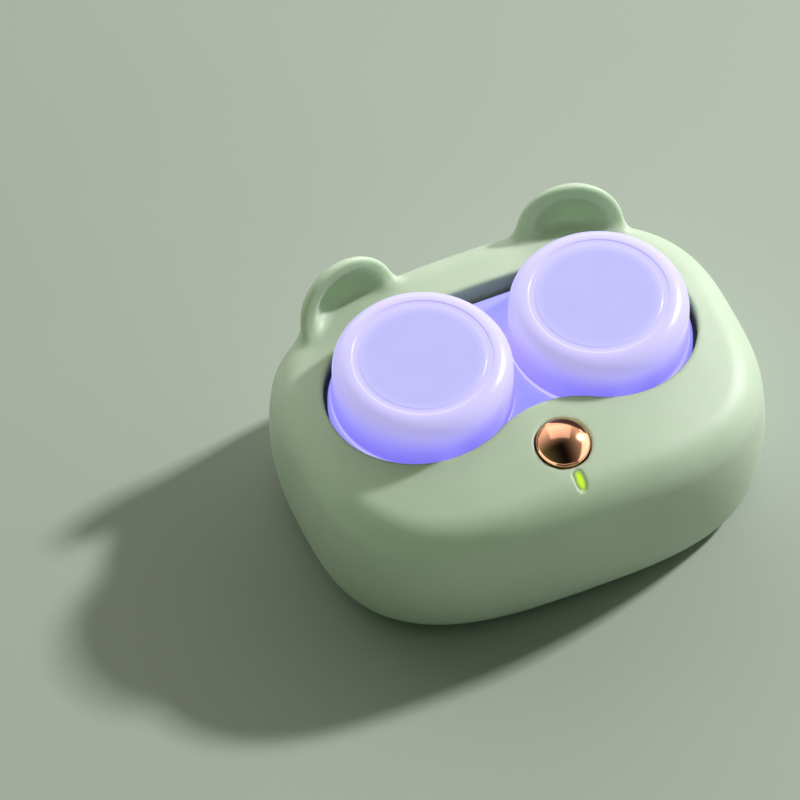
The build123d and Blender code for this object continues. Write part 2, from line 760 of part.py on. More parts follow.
with BuildPart() as switch_screws:
    under_board = button_plane.offset(switch_board_bottom)
    for x, y in switch_posts:
        add(screw(Plane(origin=on_plane(under_board, x, y), x_dir=under_board.x_dir, z_dir=under_board.z_dir),
                  small_screw_radius, small_head_radius, small_head_height, small_screw_length))
switch_screws.part.label = "switch_screws"

with BuildPart() as indicator_led:
    with BuildSketch(button_plane.offset(switch_board_top)):
        with Locations((0, -indicator_front)):
            Rectangle(indicator_led_width, indicator_led_length)
    extrude(amount=indicator_led_height)
indicator_led.part.label = "indicator_led"

with BuildPart() as pipe_flange:
    with BuildSketch(button_plane.offset(-wall_cut)):
        with Locations((0, -indicator_front)):
            SlotOverall(indicator_length, indicator_width, rotation=90)
            Rectangle(indicator_width + 2 * indicator_flange, indicator_width)
    extrude(amount=wall_cut)
    add(case_form(wall + indicator_gap, cover_top), mode=Mode.INTERSECT)

with BuildPart() as light_pipe:
    with BuildSketch(button_plane.offset(indicator_led_top + light_gap)):
        with Locations((0, -indicator_front)):
            SlotOverall(indicator_length, indicator_width, rotation=90)
    extrude(amount=wall_cut - indicator_led_top)
    add(outer_form, mode=Mode.INTERSECT)
    add(pipe_flange.part)
light_pipe.part.label = "light_pipe"

# ---- Light board under the tray ----------------------------------------------------------------------
with BuildPart() as light_board:
    with BuildSketch(Plane.XY.offset(light_board_bottom)):
        with Locations((0, light_board_y)):
            Rectangle(light_board_width, light_board_depth)
        with Locations(*light_posts):
            Circle(small_screw_radius + cover_gap, mode=Mode.SUBTRACT)
    extrude(amount=board_thickness)
light_board.part.label = "light_board"

with BuildPart() as violet_leds:
    with BuildSketch(Plane.XY.offset(light_board_top)):
        with Locations((0, light_board_y)):
            with GridLocations(led_length, led_pitch, 1, led_count):
                Rectangle(led_length, led_width)
    extrude(amount=led_height)
violet_leds.part.label = "violet_leds"

with BuildPart() as light_screws:
    for x, y in light_posts:
        add(screw(Plane(origin=(x, y, light_board_bottom)), small_screw_radius, small_head_radius,
                  small_head_height, light_screw_length))
light_screws.part.label = "light_screws"

# ---- Main board, charging socket and battery ---------------------------------------------------------
with BuildPart() as main_board:
    with BuildSketch(Plane.XY.offset(main_board_bottom)):
        with Locations((0, main_board_y)):
            Rectangle(main_board_width, main_board_depth)
        with Locations(*post_places):
            Circle(small_screw_radius + cover_gap, mode=Mode.SUBTRACT)
    extrude(amount=main_board_thickness)
main_board.part.label = "main_board"

with BuildPart() as board_screws:
    for x, y in post_places:
        add(screw(Plane(origin=(x, y, main_board_top), x_dir=(1, 0, 0), z_dir=(0, 0, -1)), small_screw_radius,
                  small_head_radius, small_head_height, small_screw_length))
board_screws.part.label = "board_screws"

with BuildPart() as usb_socket:
    mouth = Plane(origin=(0, usb_mouth_y, usb_z), x_dir=(1, 0, 0), z_dir=(0, -1, 0))
    with BuildSketch(mouth):
        SlotOverall(usb_width, usb_height)
    extrude(amount=usb_length)
    with BuildSketch(mouth):
        SlotOverall(usb_width - 2 * usb_shell, usb_height - 2 * usb_shell)
    extrude(amount=usb_mouth_depth, mode=Mode.SUBTRACT)
    with BuildSketch(mouth.offset(usb_tongue_back)):
        Rectangle(usb_tongue_width, usb_tongue_height)
    extrude(amount=usb_mouth_depth - usb_tongue_back)
usb_socket.part.label = "usb_socket"

with BuildPart() as control_chip:
    with BuildSketch(Plane.XY.offset(main_board_top)):
        with Locations((chip_x, chip_y)):
            Rectangle(chip_side, chip_side)
    extrude(amount=chip_height)
control_chip.part.label = "control_chip"

with BuildPart() as driver_coil:
    with BuildSketch(Plane.XY.offset(main_board_top)):
        with Locations((-coil_x, chip_y)):
            Circle(coil_radius)
    extrude(amount=coil_height)
driver_coil.part.label = "driver_coil"

with BuildPart() as capacitors:
    with BuildSketch(Plane.XY.offset(main_board_top)):
        with Locations((0, capacitor_y)):
            with GridLocations(capacitor_pitch, capacitor_length, capacitor_count, 1):
                Rectangle(capacitor_width, capacitor_length)
    extrude(amount=capacitor_height)
capacitors.part.label = "capacitors"

with BuildPart() as battery_pad:
    with BuildSketch(Plane.XY.offset(cover_top)):
        with Locations((0, battery_y)):
            Rectangle(battery_width - 2 * pad_inset, battery_depth - 2 * pad_inset)
    extrude(amount=pad_thickness)
battery_pad.part.label = "battery_pad"

with BuildPart() as battery:
    with BuildSketch(Plane.XY.offset(battery_bottom)) as outline:
        with Locations((0, battery_y)):
            Rectangle(battery_width, battery_depth)
        fillet(outline.vertices(), battery_round)
    extrude(amount=battery_height)
    fillet(battery.edges().filter_by(Plane.XY), battery_edge_round)
battery.part.label = "battery"

# ---- Leads from the main board to the sounders, the lights, the switch and the battery -----------------
sounder_leads = {}
for side, x in sides.items():
    with BuildPart() as one_pair:
        lead_x = math.copysign(sounder_lead_x, x)
        lead_y = cap_y + sounder_lead_setback
        add(lead_pair((lead_x, lead_y, sounder_bottom - piezo_thickness), (lead_x, lead_y, main_board_top)))
    sounder_leads[side] = one_pair.part
    sounder_leads[side].label = f"{side}_sounder_leads"

with BuildPart() as light_leads:
    lead_y = cap_y + light_lead_setback
    add(lead_pair((0, lead_y, light_board_bottom), (0, lead_y, main_board_top)))
light_leads.part.label = "light_leads"

with BuildPart() as battery_leads:
    add(lead_pair((battery_lead_x, battery_rear, battery_lead_z), (battery_lead_x, board_lead_y, battery_lead_z),
                  (battery_lead_x, board_lead_y, main_board_top)))
battery_leads.part.label = "battery_leads"

with BuildPart() as switch_leads:
    joint_y = switch_board_rear - switch_lead_setback
    joint = on_plane(button_plane, switch_lead_x, joint_y, switch_board_bottom)
    bend = on_plane(button_plane, switch_lead_x, joint_y, switch_board_bottom - switch_lead_stub)
    add(lead_pair(joint, bend, (switch_lead_x, bend.Y, switch_lead_z),
                  (switch_lead_x, board_lead_y, switch_lead_z), (switch_lead_x, board_lead_y, main_board_top)))
switch_leads.part.label = "switch_leads"

os.makedirs("parts", exist_ok=True)
pieces = [top_shell, base_cover, rubber_feet, case_screws, recess_tray, tray_screws, lens_case, button_cap,
          switch_plunger, tact_switch, switch_board, switch_screws, indicator_led, light_pipe, light_board,
          violet_leds, light_screws, main_board, board_screws, usb_socket, control_chip, driver_coil, capacitors,
          battery_pad, battery, light_leads, battery_leads, switch_leads]
solids = [piece.part for piece in pieces]
for pair in (caps, seals, gaskets, sounders, piezo_discs, sounder_leads):
    solids += pair.values()
for solid in solids:
    export_step(solid, f"parts/{solid.label}.step")
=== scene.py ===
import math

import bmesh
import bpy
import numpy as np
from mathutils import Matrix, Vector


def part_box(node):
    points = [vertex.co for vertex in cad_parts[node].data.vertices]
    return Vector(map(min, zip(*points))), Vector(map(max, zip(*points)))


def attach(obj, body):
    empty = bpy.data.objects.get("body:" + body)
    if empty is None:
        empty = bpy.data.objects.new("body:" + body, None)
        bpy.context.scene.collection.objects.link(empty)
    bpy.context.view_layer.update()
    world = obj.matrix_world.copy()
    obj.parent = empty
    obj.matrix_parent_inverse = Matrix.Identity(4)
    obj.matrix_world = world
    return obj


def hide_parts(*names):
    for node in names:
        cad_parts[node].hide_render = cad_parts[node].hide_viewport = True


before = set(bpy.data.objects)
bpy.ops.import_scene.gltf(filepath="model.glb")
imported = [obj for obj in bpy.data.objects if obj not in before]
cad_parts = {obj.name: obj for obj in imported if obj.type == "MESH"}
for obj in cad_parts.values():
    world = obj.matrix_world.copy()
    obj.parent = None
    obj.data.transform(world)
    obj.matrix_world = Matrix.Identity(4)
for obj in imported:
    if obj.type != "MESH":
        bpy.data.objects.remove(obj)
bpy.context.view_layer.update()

# %% [markdown]
# # A contact lens cleaner, dressed for the studio
# The machine is a rounded box of sage-green plastic with two small ears. A recess in its top holds a
# lens case with two violet screw caps. In front of them sit a copper-coloured button and a small light.
# The working model, with every piece at its real size, is already loaded as a fixed frame. This lesson
# gives each piece its finish, and models again the pieces whose curves decide how light runs over them.
# Nothing is moved: every new piece is built where its piece of the frame lies, and rides on its body.

MM = 0.001                       # the scene is in metres, and sizes here are named in millimetres


def node_box(name):
    """Return a node's lowest and highest corners at rest, in millimetres."""
    low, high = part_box(name)
    return np.array(low) / MM, np.array(high) / MM


# %% [markdown]
# ## The camera
# A long lens far away flattens perspective, which suits small products: their sides stay parallel. The
# camera looks down from just over 50 degrees, turned a little to the left of the machine's front. Its
# place is worked out from two angles and a distance, so that each can be changed by itself.

# %% Camera
camera_turn = math.radians(23.508)       # round the machine, from straight in front towards its left
camera_height = math.radians(53.4)       # above the horizon
camera_distance = 2.0                    # metres
lens_mm = 546.4
aim_y = 1.46 * MM                        # the point aimed at lies under the case's widest section
slide_left = 18.84 * MM
slide_up = 10.47 * MM

forward = Vector((math.sin(camera_turn) * math.cos(camera_height),
                  math.cos(camera_turn) * math.cos(camera_height),
                  -math.sin(camera_height)))
right = Vector((math.cos(camera_turn), -math.sin(camera_turn), 0))
up = right.cross(forward)
camera_data = bpy.data.cameras.new("studio_camera")
camera_data.lens = lens_mm
camera_data.sensor_width = 36
camera_data.clip_end = 100
camera = bpy.data.objects.new("studio_camera", camera_data)
bpy.context.collection.objects.link(camera)
camera.location = Vector((0, aim_y, 0)) - camera_distance * forward - slide_left * right + slide_up * up
camera.rotation_mode = "QUATERNION"
camera.rotation_quaternion = forward.to_track_quat("-Z", "Y")
bpy.context.scene.camera = camera
print("camera at, m:", [round(c, 3) for c in camera.location])

# %% [markdown]
# ## Colours and nodes
# Colours are written as sRGB hex values, which is how they read on a screen. Blender mixes light in
# linear values, so one function turns one into the other. A second small function adds a shader node
# with its settings, its values and its links, and every material below is made with it.

# %% Helpers for materials
def linear(colour):
    """Return a hex sRGB colour such as #C0FFEE as linear red, green, blue and alpha."""
    parts = [int(colour[k:k + 2], 16) / 255 for k in (1, 3, 5)]
    return (*(p / 12.92 if p <= 0.04045 else ((p + 0.055) / 1.055)**2.4 for p in parts), 1.0)


def repeats(size_mm):
    """Return the texture scale at which one feature of a pattern is this many millimetres wide."""
    return 1 / (size_mm * MM)


def add_node(tree, kind, values=(), links=(), stops=(), **settings):
    """Add a node: values fill its sockets, links join other nodes to them, and settings are its own.

    Stops are for a colour ramp: each is a place from 0 to 1 and a hex colour.
    """
    node = tree.nodes.new(kind)
    for name, value in settings.items():
        setattr(node, name, value)
    for socket, value in dict(values).items():
        node.inputs[socket].default_value = value
    for socket, source in dict(links).items():
        tree.links.new(source, node.inputs[socket])
    if stops:
        for _ in stops[2:]:              # a new ramp has two stops
            node.color_ramp.elements.new(0.5)
        for element, (place, colour) in zip(node.color_ramp.elements, stops):
            element.position, element.color = place, linear(colour)
    return node


def new_finish(name):
    """Start a material and return it with its tree, its shader and the place on the object as a vector."""
    finish = bpy.data.materials.new(name)
    finish.use_nodes = True
    tree = finish.node_tree
    shader = tree.nodes["Principled BSDF"]
    place = add_node(tree, "ShaderNodeTexCoord").outputs["Object"]
    return finish, tree, shader, place


def set_shader(shader, **values):
    """Fill the shader's own sockets: Base_Color stands for the socket called Base Color."""
    for name, value in values.items():
        shader.inputs[name.replace("_", " ")].default_value = value


def mottle(tree, place, size_mm, low, high, detail=2.0):
    """Return a colour socket that drifts between two colours over patches of a size."""
    noise = add_node(tree, "ShaderNodeTexNoise", {"Scale": repeats(size_mm), "Detail": detail},
                     {"Vector": place})
    ramp = add_node(tree, "ShaderNodeValToRGB", links={"Fac": noise.outputs["Fac"]},
                    stops=[(0.3, low), (0.7, high)])
    return ramp.outputs["Color"]


def grain(tree, shader, place, size_mm, height_mm, strength=1.0):
    """Give the shader a fine moulded grain, as the tool's etched surface leaves it."""
    noise = add_node(tree, "ShaderNodeTexNoise", {"Scale": repeats(size_mm), "Detail": 3.0},
                     {"Vector": place})
    bump = add_node(tree, "ShaderNodeBump", {"Strength": strength, "Distance": height_mm * MM},
                    {"Height": noise.outputs["Fac"]})
    tree.links.new(bump.outputs["Normal"], shader.inputs["Normal"])
    return noise.outputs["Fac"]


print("mid grey is", round(linear("#808080")[0], 3), "in linear light")

# %% [markdown]
# ## The floor and the light
# A wide pale floor carries the shadow. One square lamp stands to the right and a little behind, at the
# height of a mid-morning sun. It is small and far enough away for a shadow with a narrow soft edge. The
# room fills the rest, and is darker in front, so that polished metal has something dark to show. All of
# it stays at a plain level, at which a colour renders about as it is written.

# %% Floor
def stage_floor(half_side):
    """Add the floor as one large square under the feet, cut into a few cells."""
    mesh = bpy.data.meshes.new("studio_floor")
    form = bmesh.new()
    bmesh.ops.create_grid(form, x_segments=4, y_segments=4, size=half_side)
    form.to_mesh(mesh)
    form.free()
    floor = bpy.data.objects.new("studio_floor", mesh)
    bpy.context.collection.objects.link(floor)
    return floor


def painted_board():
    """A matt painted studio board: no gloss, and a paint film that is slightly uneven."""
    finish, tree, shader, place = new_finish("matt_painted_board")
    tree.links.new(mottle(tree, place, 60, "#B0B9AE", "#B2BBB0"), shader.inputs["Base Color"])
    set_shader(shader, Roughness=0.9, IOR=1.4)
    return finish


floor_reach = 6.0                        # metres from the middle to each edge
floor = stage_floor(floor_reach)
floor.data.materials.append(painted_board())
print("floor, m:", [round(side, 1) for side in floor.dimensions])

# %% Key lamp
key_turn = math.radians(12)              # from the right of the machine towards its back
key_height = math.radians(34.5)
key_distance = 1.2                       # metres
key_side = 0.10
key_level = 3.25                         # what lands on a surface facing the lamp, in W per square metre

key_data = bpy.data.lights.new("key_softbox", "AREA")
key_data.shape = "SQUARE"
key_data.size = key_side
key_data.energy = key_level * math.pi * key_distance**2
key = bpy.data.objects.new("key_softbox", key_data)
bpy.context.collection.objects.link(key)
towards_key = Vector((math.cos(key_turn) * math.cos(key_height),
                      math.sin(key_turn) * math.cos(key_height),
                      math.sin(key_height)))
key.location = key_distance * towards_key
key.rotation_mode = "QUATERNION"
key.rotation_quaternion = towards_key.to_track_quat("Z", "Y")
print("key lamp, W:", round(key_data.energy, 1))

# %% [markdown]
# The room round the machine is described by six colours, one for what comes from each side: from the
# left and the right, from the front and the back, and from above and below. In between, the colours mix
# by the squares of the direction's parts, which always add up to one, so the room has no hard edges.

# %% Room
room_sides = {"X": ("#596D53", "#A1A79A"),    # from the left, and from the right
              "Y": ("#121212", "#FEFCF4"),    # from the front, and from the back: a wide pale window
              "Z": ("#101010", "#0A0A0A")}    # from below, and from above
room_level = 1.8

world = bpy.data.worlds.new("studio_room")
bpy.context.scene.world = world
world.use_nodes = True
room = world.node_tree
way = add_node(room, "ShaderNodeTexCoord").outputs["Generated"]
parts = add_node(room, "ShaderNodeSeparateXYZ", links={"Vector": way})
mixed = None
for axis, (behind, ahead) in room_sides.items():
    part = parts.outputs[axis]
    side_of = add_node(room, "ShaderNodeMath", {1: 0.0}, {0: part}, operation="GREATER_THAN").outputs[0]
    share = add_node(room, "ShaderNodeMath", {1: 2.0}, {0: part}, operation="POWER").outputs[0]
    wall_colour = add_node(room, "ShaderNodeMix", {6: linear(behind), 7: linear(ahead)}, {"Factor": side_of},
                           data_type="RGBA").outputs[2]
    lit = add_node(room, "ShaderNodeVectorMath", links={0: wall_colour, "Scale": share},
                   operation="SCALE").outputs[0]
    if mixed:
        lit = add_node(room, "ShaderNodeVectorMath", links={0: mixed, 1: lit}, operation="ADD").outputs[0]
    mixed = lit
room.links.new(mixed, room.nodes["Background"].inputs["Color"])
room.nodes["Background"].inputs["Strength"].default_value = room_level
bpy.context.scene.view_settings.view_transform = "Standard"
print("room:", room_sides)

# %% [markdown]
# ## Moulded sage-green ABS
# The case is ABS, a tough plastic that takes colour all through. The mould was etched with a very fine
# grain, so the surface is satin: it spreads the lamp into a broad soft sheen, and corners stay bright.
# A little light also wanders through the first few millimetres, so shade is soft where a wall is thin.

# %% Finish of the case
def moulded_abs(name, low, high):
    """Satin moulded ABS: etched grain of a quarter millimetre, and pigment that drifts very slightly."""
    finish, tree, shader, place = new_finish(name)
    tree.links.new(mottle(tree, place, 9, low, high), shader.inputs["Base Color"])
    speck = grain(tree, shader, place, 0.25, 0.006, 0.5)
    rough = add_node(tree, "ShaderNodeMapRange", {"To Min": 0.44, "To Max": 0.56}, {"Value": speck})
    tree.links.new(rough.outputs["Result"], shader.inputs["Roughness"])
    set_shader(shader, IOR=1.54, Subsurface_Weight=0.6, Subsurface_Radius=(1.0, 1.3, 0.9),
               Subsurface_Scale=2.5 * MM)
    return finish


case_plastic = moulded_abs("moulded_abs_sage", "#B9C8B3", "#BECCB8")
cover_plastic = moulded_abs("moulded_abs_sage_underside", "#A9BBA3", "#AFC0A9")
print("finish:", case_plastic.name)

# %% [markdown]
# ## The case as one flowing surface
# On the real machine the ears grow out of the case with a soft curve at their feet, and every opening
# has a tiny rounded lip. Fillets like these are hard to build from patches, but easy to say as a rule:
# a function gives each point in space its distance from the surface, below zero inside the plastic.
# Two forms are joined or cut by mixing their distances, and the mix can be told to round the corner by
# a radius. The surface is where the function crosses zero. First come the rules for mixing.

# %% Rules that join and cut forms
def cut_common(a, b, radius, lean=0.0):
    """Return the distance to what lies in both forms, with their common edge rounded off.

    Lean is the cosine of the angle between the two surfaces' outward directions: 0 where they stand square.
    """
    a, b = a + radius, b + radius
    on_edge = (a > lean * b) & (b > lean * a)
    from_edge = np.sqrt(np.maximum(a**2 + b**2 - 2 * lean * a * b, 0) / (1 - lean**2))
    return np.where(on_edge, from_edge, np.maximum(a, b)) - radius


def join_soft(a, b, radius):
    """Return the distance to two forms joined, with a fillet of a radius where they meet."""
    return -cut_common(-a, -b, radius)


def take_away(a, b, radius):
    """Return the distance to the first form without the second, with the new edge rounded off."""
    return cut_common(a, -b, radius)


# %% [markdown]
# The sizes below are those of the frame's case, in millimetres. Where another piece sets a size, it is
# read from that piece's box: the caps give the recess, and the case's own box gives its outline.

# %% Sizes of the case
shell_low, shell_high = node_box("top_shell")
cap_low, cap_high = node_box("right_cap")
cap_radius = (cap_high[0] - cap_low[0]) / 2
cap_x, cap_y = (cap_high[:2] + cap_low[:2]) / 2
cap_foot, cap_top = cap_low[2], cap_high[2]
cap_foot_gap = 0.3
plate_top = cap_foot - cap_foot_gap

inside_frame = 0.01                      # the new surface stays this far inside the frame's own box
half_width = min(-shell_low[0], shell_high[0]) - inside_frame
half_depth = min(-shell_low[1], shell_high[1]) - inside_frame
widest_y = 1.46
outline_power = 3.0
belly_height, flank_radius = 14.0, 53.0
crest_y, crest_z = -6.85, plate_top + 5.8
crown_front, crown_rear, crown_side = 70.0, 150.0, 150.0
shoulder_radius, keel_radius = 8.0, 3.0
shoulder_lean, keel_lean = 0.46, 0.2
foot_stand, cover_top = 1.0, 3.2
wall = 2.0
wall_cut = 5.0                           # openings are cut from this far inside the case's surface

opening_radius = cap_radius + 1.2
opening_rear = cap_y + 15.0
opening_dip = cap_y - opening_radius + 3.85
collar_wall, collar_foot = 1.4, 22.3

ear_radius, ear_spread = 9.2, 19.7
ear_y, ear_z = 23.8, crest_z - 4.6
ear_turn, ear_lean = math.radians(12), math.radians(17)
ear_depth, ear_skirt, ear_root = 4.8, 1.4, 5.0
ear_rim, ear_hollow = 2.5, 3.5
ear_back_round, ear_rim_round, ear_edge_round = 0.9, 0.7, 0.6
ear_fillet = 2.5

front_y, button_setback = -29.75, 12.25  # the case's foremost point, and how far the button lies behind it
button_radius, button_gap = 4.45, 0.25
button_y = front_y + button_setback
light_ahead, light_length, light_width, light_gap = 6.95, 3.1, 1.4, 0.15
port_width, port_height, port_z = 9.54, 3.8, 8.4
boss_places = [(26.0, -17.0), (20.2, 20.45)]
boss_radius, pilot_radius, pilot_top = 2.8, 1.15, 10.2
print("caps at x, y, mm:", round(cap_x, 2), round(cap_y, 2), "opening radius", round(opening_radius, 2))

# %% [markdown]
# The plan of the case is a superellipse, a curve between an ellipse and a rectangle. Its flanks lean in
# above and below their widest height by a long arc. The crown is two arcs from front to back, swept
# from side to side about an axis far below. The shoulder and the keel between them are rounded.

# %% Form of the case
def flank_inset(z):
    """Return how far the flank has drawn in from its widest section at a height."""
    return flank_radius - np.sqrt(flank_radius**2 - (z - belly_height)**2)


def outline_distance(x, y, inset):
    """Return the distance from the case's plan, drawn in by an inset."""
    across = y - widest_y
    depth = half_depth - inset - np.where(across > 0, widest_y, -widest_y)
    size = ((np.abs(x) / (half_width - inset))**outline_power
            + (np.abs(across) / depth)**outline_power)**(1 / outline_power)
    reach = np.hypot(x, across)
    return reach - reach / np.maximum(size, 1e-6)


def crown_distance(x, y, z):
    """Return the height above the crown, measured square to it."""
    level = np.hypot(x, z - crest_z + crown_side) - crown_side
    radius = np.where(y < crest_y, crown_front, crown_rear)
    return np.hypot(y - crest_y, level + radius) - radius


def case_distance(x, y, z, inset, bottom, bottom_round):
    """Return the distance from the case's solid form, drawn in by an inset, on a flat bottom."""
    side = outline_distance(x, y, inset + flank_inset(z))
    form = cut_common(side, crown_distance(x, y, z) + inset, shoulder_radius - inset, shoulder_lean)
    return cut_common(form, bottom - z, bottom_round, keel_lean)


# %% [markdown]
# Each ear is half a round dish, hollow to the front, whose section runs straight down into the case. It
# is turned a little inwards and leans back. The dish is the space between two spheres: a point is
# measured by how far it is from the dish's axis, and how far it lies behind the plane of its rim.

# %% Form of an ear
def ear_distance(x, y, z):
    """Return the distance from the ear on the same side of the machine as the point."""
    sideways, backwards, upwards = np.abs(x) - ear_spread, y - ear_y, z - ear_z
    along = math.cos(ear_turn) * sideways - math.sin(ear_turn) * backwards
    level = math.cos(ear_turn) * backwards + math.sin(ear_turn) * sideways
    behind = math.cos(ear_lean) * level - math.sin(ear_lean) * upwards
    rise = math.cos(ear_lean) * upwards + math.sin(ear_lean) * level
    reach = np.hypot(along, np.maximum(rise, 0))
    back_drop = ear_depth - ear_skirt
    back_radius = (ear_radius**2 + back_drop**2) / (2 * back_drop)
    back = np.hypot(reach, behind - ear_depth + back_radius) - back_radius
    dish = cut_common(cut_common(reach - ear_radius, back, ear_back_round), -behind, ear_rim_round)
    mouth = ear_radius - ear_rim
    hollow_radius = (mouth**2 + ear_hollow**2) / (2 * ear_hollow)
    hollow = hollow_radius - np.hypot(reach, behind - ear_hollow + hollow_radius)
    dish = cut_common(dish, hollow, ear_edge_round)
    return cut_common(dish, -ear_root - rise, ear_edge_round)


# %% [markdown]
# The recess is seen from above as two circles round the caps, closed by a straight edge behind, and in
# front by an arc that touches both circles. The arc's radius follows from the circles and from how deep
# it dips.

# %% Form of the recess, and the button's own directions
dip_height = cap_y - opening_dip
dip_radius = (cap_x**2 + dip_height**2 - opening_radius**2) / (2 * (opening_radius - dip_height))
dip_y = opening_dip - dip_radius
deep_inside = -3.0                       # stands for any place well inside, where no edge is near


def recess_distance(x, y):
    """Return the distance from the recess's outline, seen from above."""
    side = np.abs(x)
    circle = np.hypot(side - cap_x, y - cap_y) - opening_radius
    dip = dip_radius - np.hypot(x, y - dip_y)
    between_caps = (y < cap_y) & (side * (cap_y - dip_y) < cap_x * (y - dip_y))
    behind = (y >= cap_y) & (side < cap_x)
    front = np.where(between_caps, dip, np.where(behind, np.minimum(circle, deep_inside), circle))
    return np.maximum(front, y - opening_rear)


button_tilt = math.asin((crest_y - button_y) / crown_front)
button_z = crest_z - crown_front * (1 - math.cos(button_tilt))


def button_frame(x, y, z):
    """Return a point's place in the button's own directions: sideways, backwards and out of the case."""
    back = math.cos(button_tilt) * (y - button_y) + math.sin(button_tilt) * (z - button_z)
    out = math.cos(button_tilt) * (z - button_z) - math.sin(button_tilt) * (y - button_y)
    return x, back, out


# %% [markdown]
# Now the whole shell is one rule: the case joined to its ears, less the air inside, less the recess and
# the holes. Inside, a collar hangs round the recess and four bosses stand over the screws. The bottom is
# open for the cover, and the back wall has a slot for the charging plug.

# %% The shell as one distance
edge_round, lip_round, hole_round = 0.3, 0.55, 0.2
keel_rim = 0.3                           # flat rim between the keel's bend and the opening for the cover
cut_past = 1.2                           # the recess is cut this far past the foot of its collar
cover_inset = float(flank_inset(foot_stand)) + keel_radius + keel_rim
recess_foot = collar_foot - cut_past


def shell_distance(x, y, z):
    """Return the distance from the case's shell, below zero inside its plastic."""
    side = np.abs(x)
    body = case_distance(x, y, z, 0, foot_stand, keel_radius)
    outside = join_soft(body, ear_distance(x, y, z), ear_fillet)
    recess = recess_distance(x, y)
    air = case_distance(x, y, z, wall, cover_top, edge_round)
    air = take_away(air, np.maximum(recess - collar_wall, collar_foot - z), edge_round)
    for boss_x, boss_y in boss_places:
        spread = np.hypot(side - boss_x, y - boss_y)
        air = take_away(air, spread - boss_radius, edge_round)
        air = np.minimum(air, np.maximum(spread - pilot_radius, z - pilot_top))
    pocket = np.maximum(outline_distance(x, y, cover_inset), z - cover_top)
    shell = take_away(take_away(outside, air, edge_round), pocket, edge_round)
    shell = take_away(shell, np.maximum(recess, recess_foot - z), lip_round)
    sideways, back, out = button_frame(x, y, z)
    button_hole = np.maximum(np.hypot(sideways, back) - button_radius - button_gap, -wall_cut - out)
    half_run = (light_length - light_width) / 2
    light_hole = np.hypot(sideways, np.maximum(np.abs(back + light_ahead) - half_run, 0))
    light_hole = np.maximum(light_hole - light_width / 2 - light_gap, -wall_cut - out)
    half_port = (port_width - port_height) / 2
    port = np.hypot(np.maximum(side - half_port, 0), z - port_z) - port_height / 2
    port = np.maximum(port, half_depth - wall_cut - y)
    for hole, round_edge in ((button_hole, hole_round), (light_hole, hole_round), (port, edge_round)):
        shell = take_away(shell, hole, round_edge)
    return shell


print("distance at the crest, mm:", round(float(shell_distance(0.0, crest_y, crest_z)), 3))

# %% [markdown]
# ## From a distance to a mesh
# The function is sampled on a grid of small cubes. Wherever the surface passes through a cube, one point
# is put at the mean of the places where it crosses the cube's edges, and each crossed edge gets a
# four-sided face between its four cubes. Then every point slides along the slope of the function until
# it lies on the surface, so the mesh is smooth although the grid is coarse.

# %% Skin of a distance
def skin(distance, low, high, step):
    """Return the points and the four-sided faces of the surface on which a distance is zero."""
    places = np.meshgrid(*(np.arange(a, b + step, step) for a, b in zip(low, high)), indexing="ij")
    values = distance(*places)
    cubes = np.array(values.shape) - 1
    total, count = np.zeros((cubes.prod(), 3)), np.zeros(cubes.prod())
    quads = []
    for axis in range(3):
        first = np.take(values, range(cubes[axis]), axis)
        second = np.take(values, range(1, cubes[axis] + 1), axis)
        crossed = (first < 0) != (second < 0)
        corner = np.argwhere(crossed)
        point = corner.astype(float)
        point[:, axis] += first[crossed] / (first[crossed] - second[crossed])
        u, v = [k for k in range(3) if k != axis]
        around = []
        for back_u, back_v in ((0, 0), (1, 0), (1, 1), (0, 1)):
            cube = corner.copy()
            cube[:, u] -= back_u
            cube[:, v] -= back_v
            around.append(np.ravel_multi_index(cube.T, cubes))
            count += np.bincount(around[-1], minlength=len(count))
            for k in range(3):
                total[:, k] += np.bincount(around[-1], weights=point[:, k], minlength=len(count))
        quad = np.stack(around, axis=1)
        turned = (first[crossed] > 0) != (axis == 1)
        quad[turned] = quad[turned][:, ::-1]
        quads.append(quad)
    used = count > 0
    number = np.cumsum(used) - 1
    points = np.array(low) + step * total[used] / count[used, None]
    return points, number[np.concatenate(quads)]


def settle(distance, points, rounds=4, probe=0.02):
    """Slide points along the slope of a distance until they lie on its surface."""
    for _ in range(rounds):
        value = distance(*points.T)
        slope = np.empty_like(points)
        for k in range(3):
            shift = np.zeros(3)
            shift[k] = probe
            slope[:, k] = (distance(*(points + shift).T) - distance(*(points - shift).T)) / (2 * probe)
        points = points - (value / np.maximum((slope**2).sum(axis=1), 0.2))[:, None] * slope
    return points


def new_piece(name, points, faces, body, slot, finish, smooth=True):
    """Make a piece of points in millimetres, smooth it, and let it ride on its body."""
    mesh = bpy.data.meshes.new(name)
    mesh.from_pydata([tuple(p) for p in np.asarray(points) * MM], [], [tuple(f) for f in faces])
    if smooth:
        mesh.shade_smooth()
    mesh.materials.append(finish)
    piece = bpy.data.objects.new(name, mesh)
    bpy.context.collection.objects.link(piece)
    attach(piece, body)
    return piece


# %% The case shell
skin_step = 0.4
margin = 3 * skin_step
points, faces = skin(shell_distance, shell_low - margin, shell_high + margin, skin_step)
points = settle(shell_distance, points)
case_shell = new_piece("case_shell", points, faces.tolist(), "case", "shell", case_plastic)
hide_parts("top_shell")
print("case shell:", len(points), "points")
print("shell, mm:", np.round(points.min(axis=0), 2), np.round(points.max(axis=0), 2))
print("frame, mm:", np.round(shell_low, 2), np.round(shell_high, 2))

# %% [markdown]
# ## A soft light for the shaded side
# A studio seldom leaves the shaded side to chance. Here a square panel half a metre wide, high up on the
# front left, opens the shade in the hollows of the ears and below the shoulder. Its light is faintly
# green, so the shade keeps the colour of the plastic. In a studio black boards would keep such a panel
# off the floor. In Blender a lamp can be given a collection of receivers, and lights only those.
# The function that adds the panel serves again for the cards round the button.

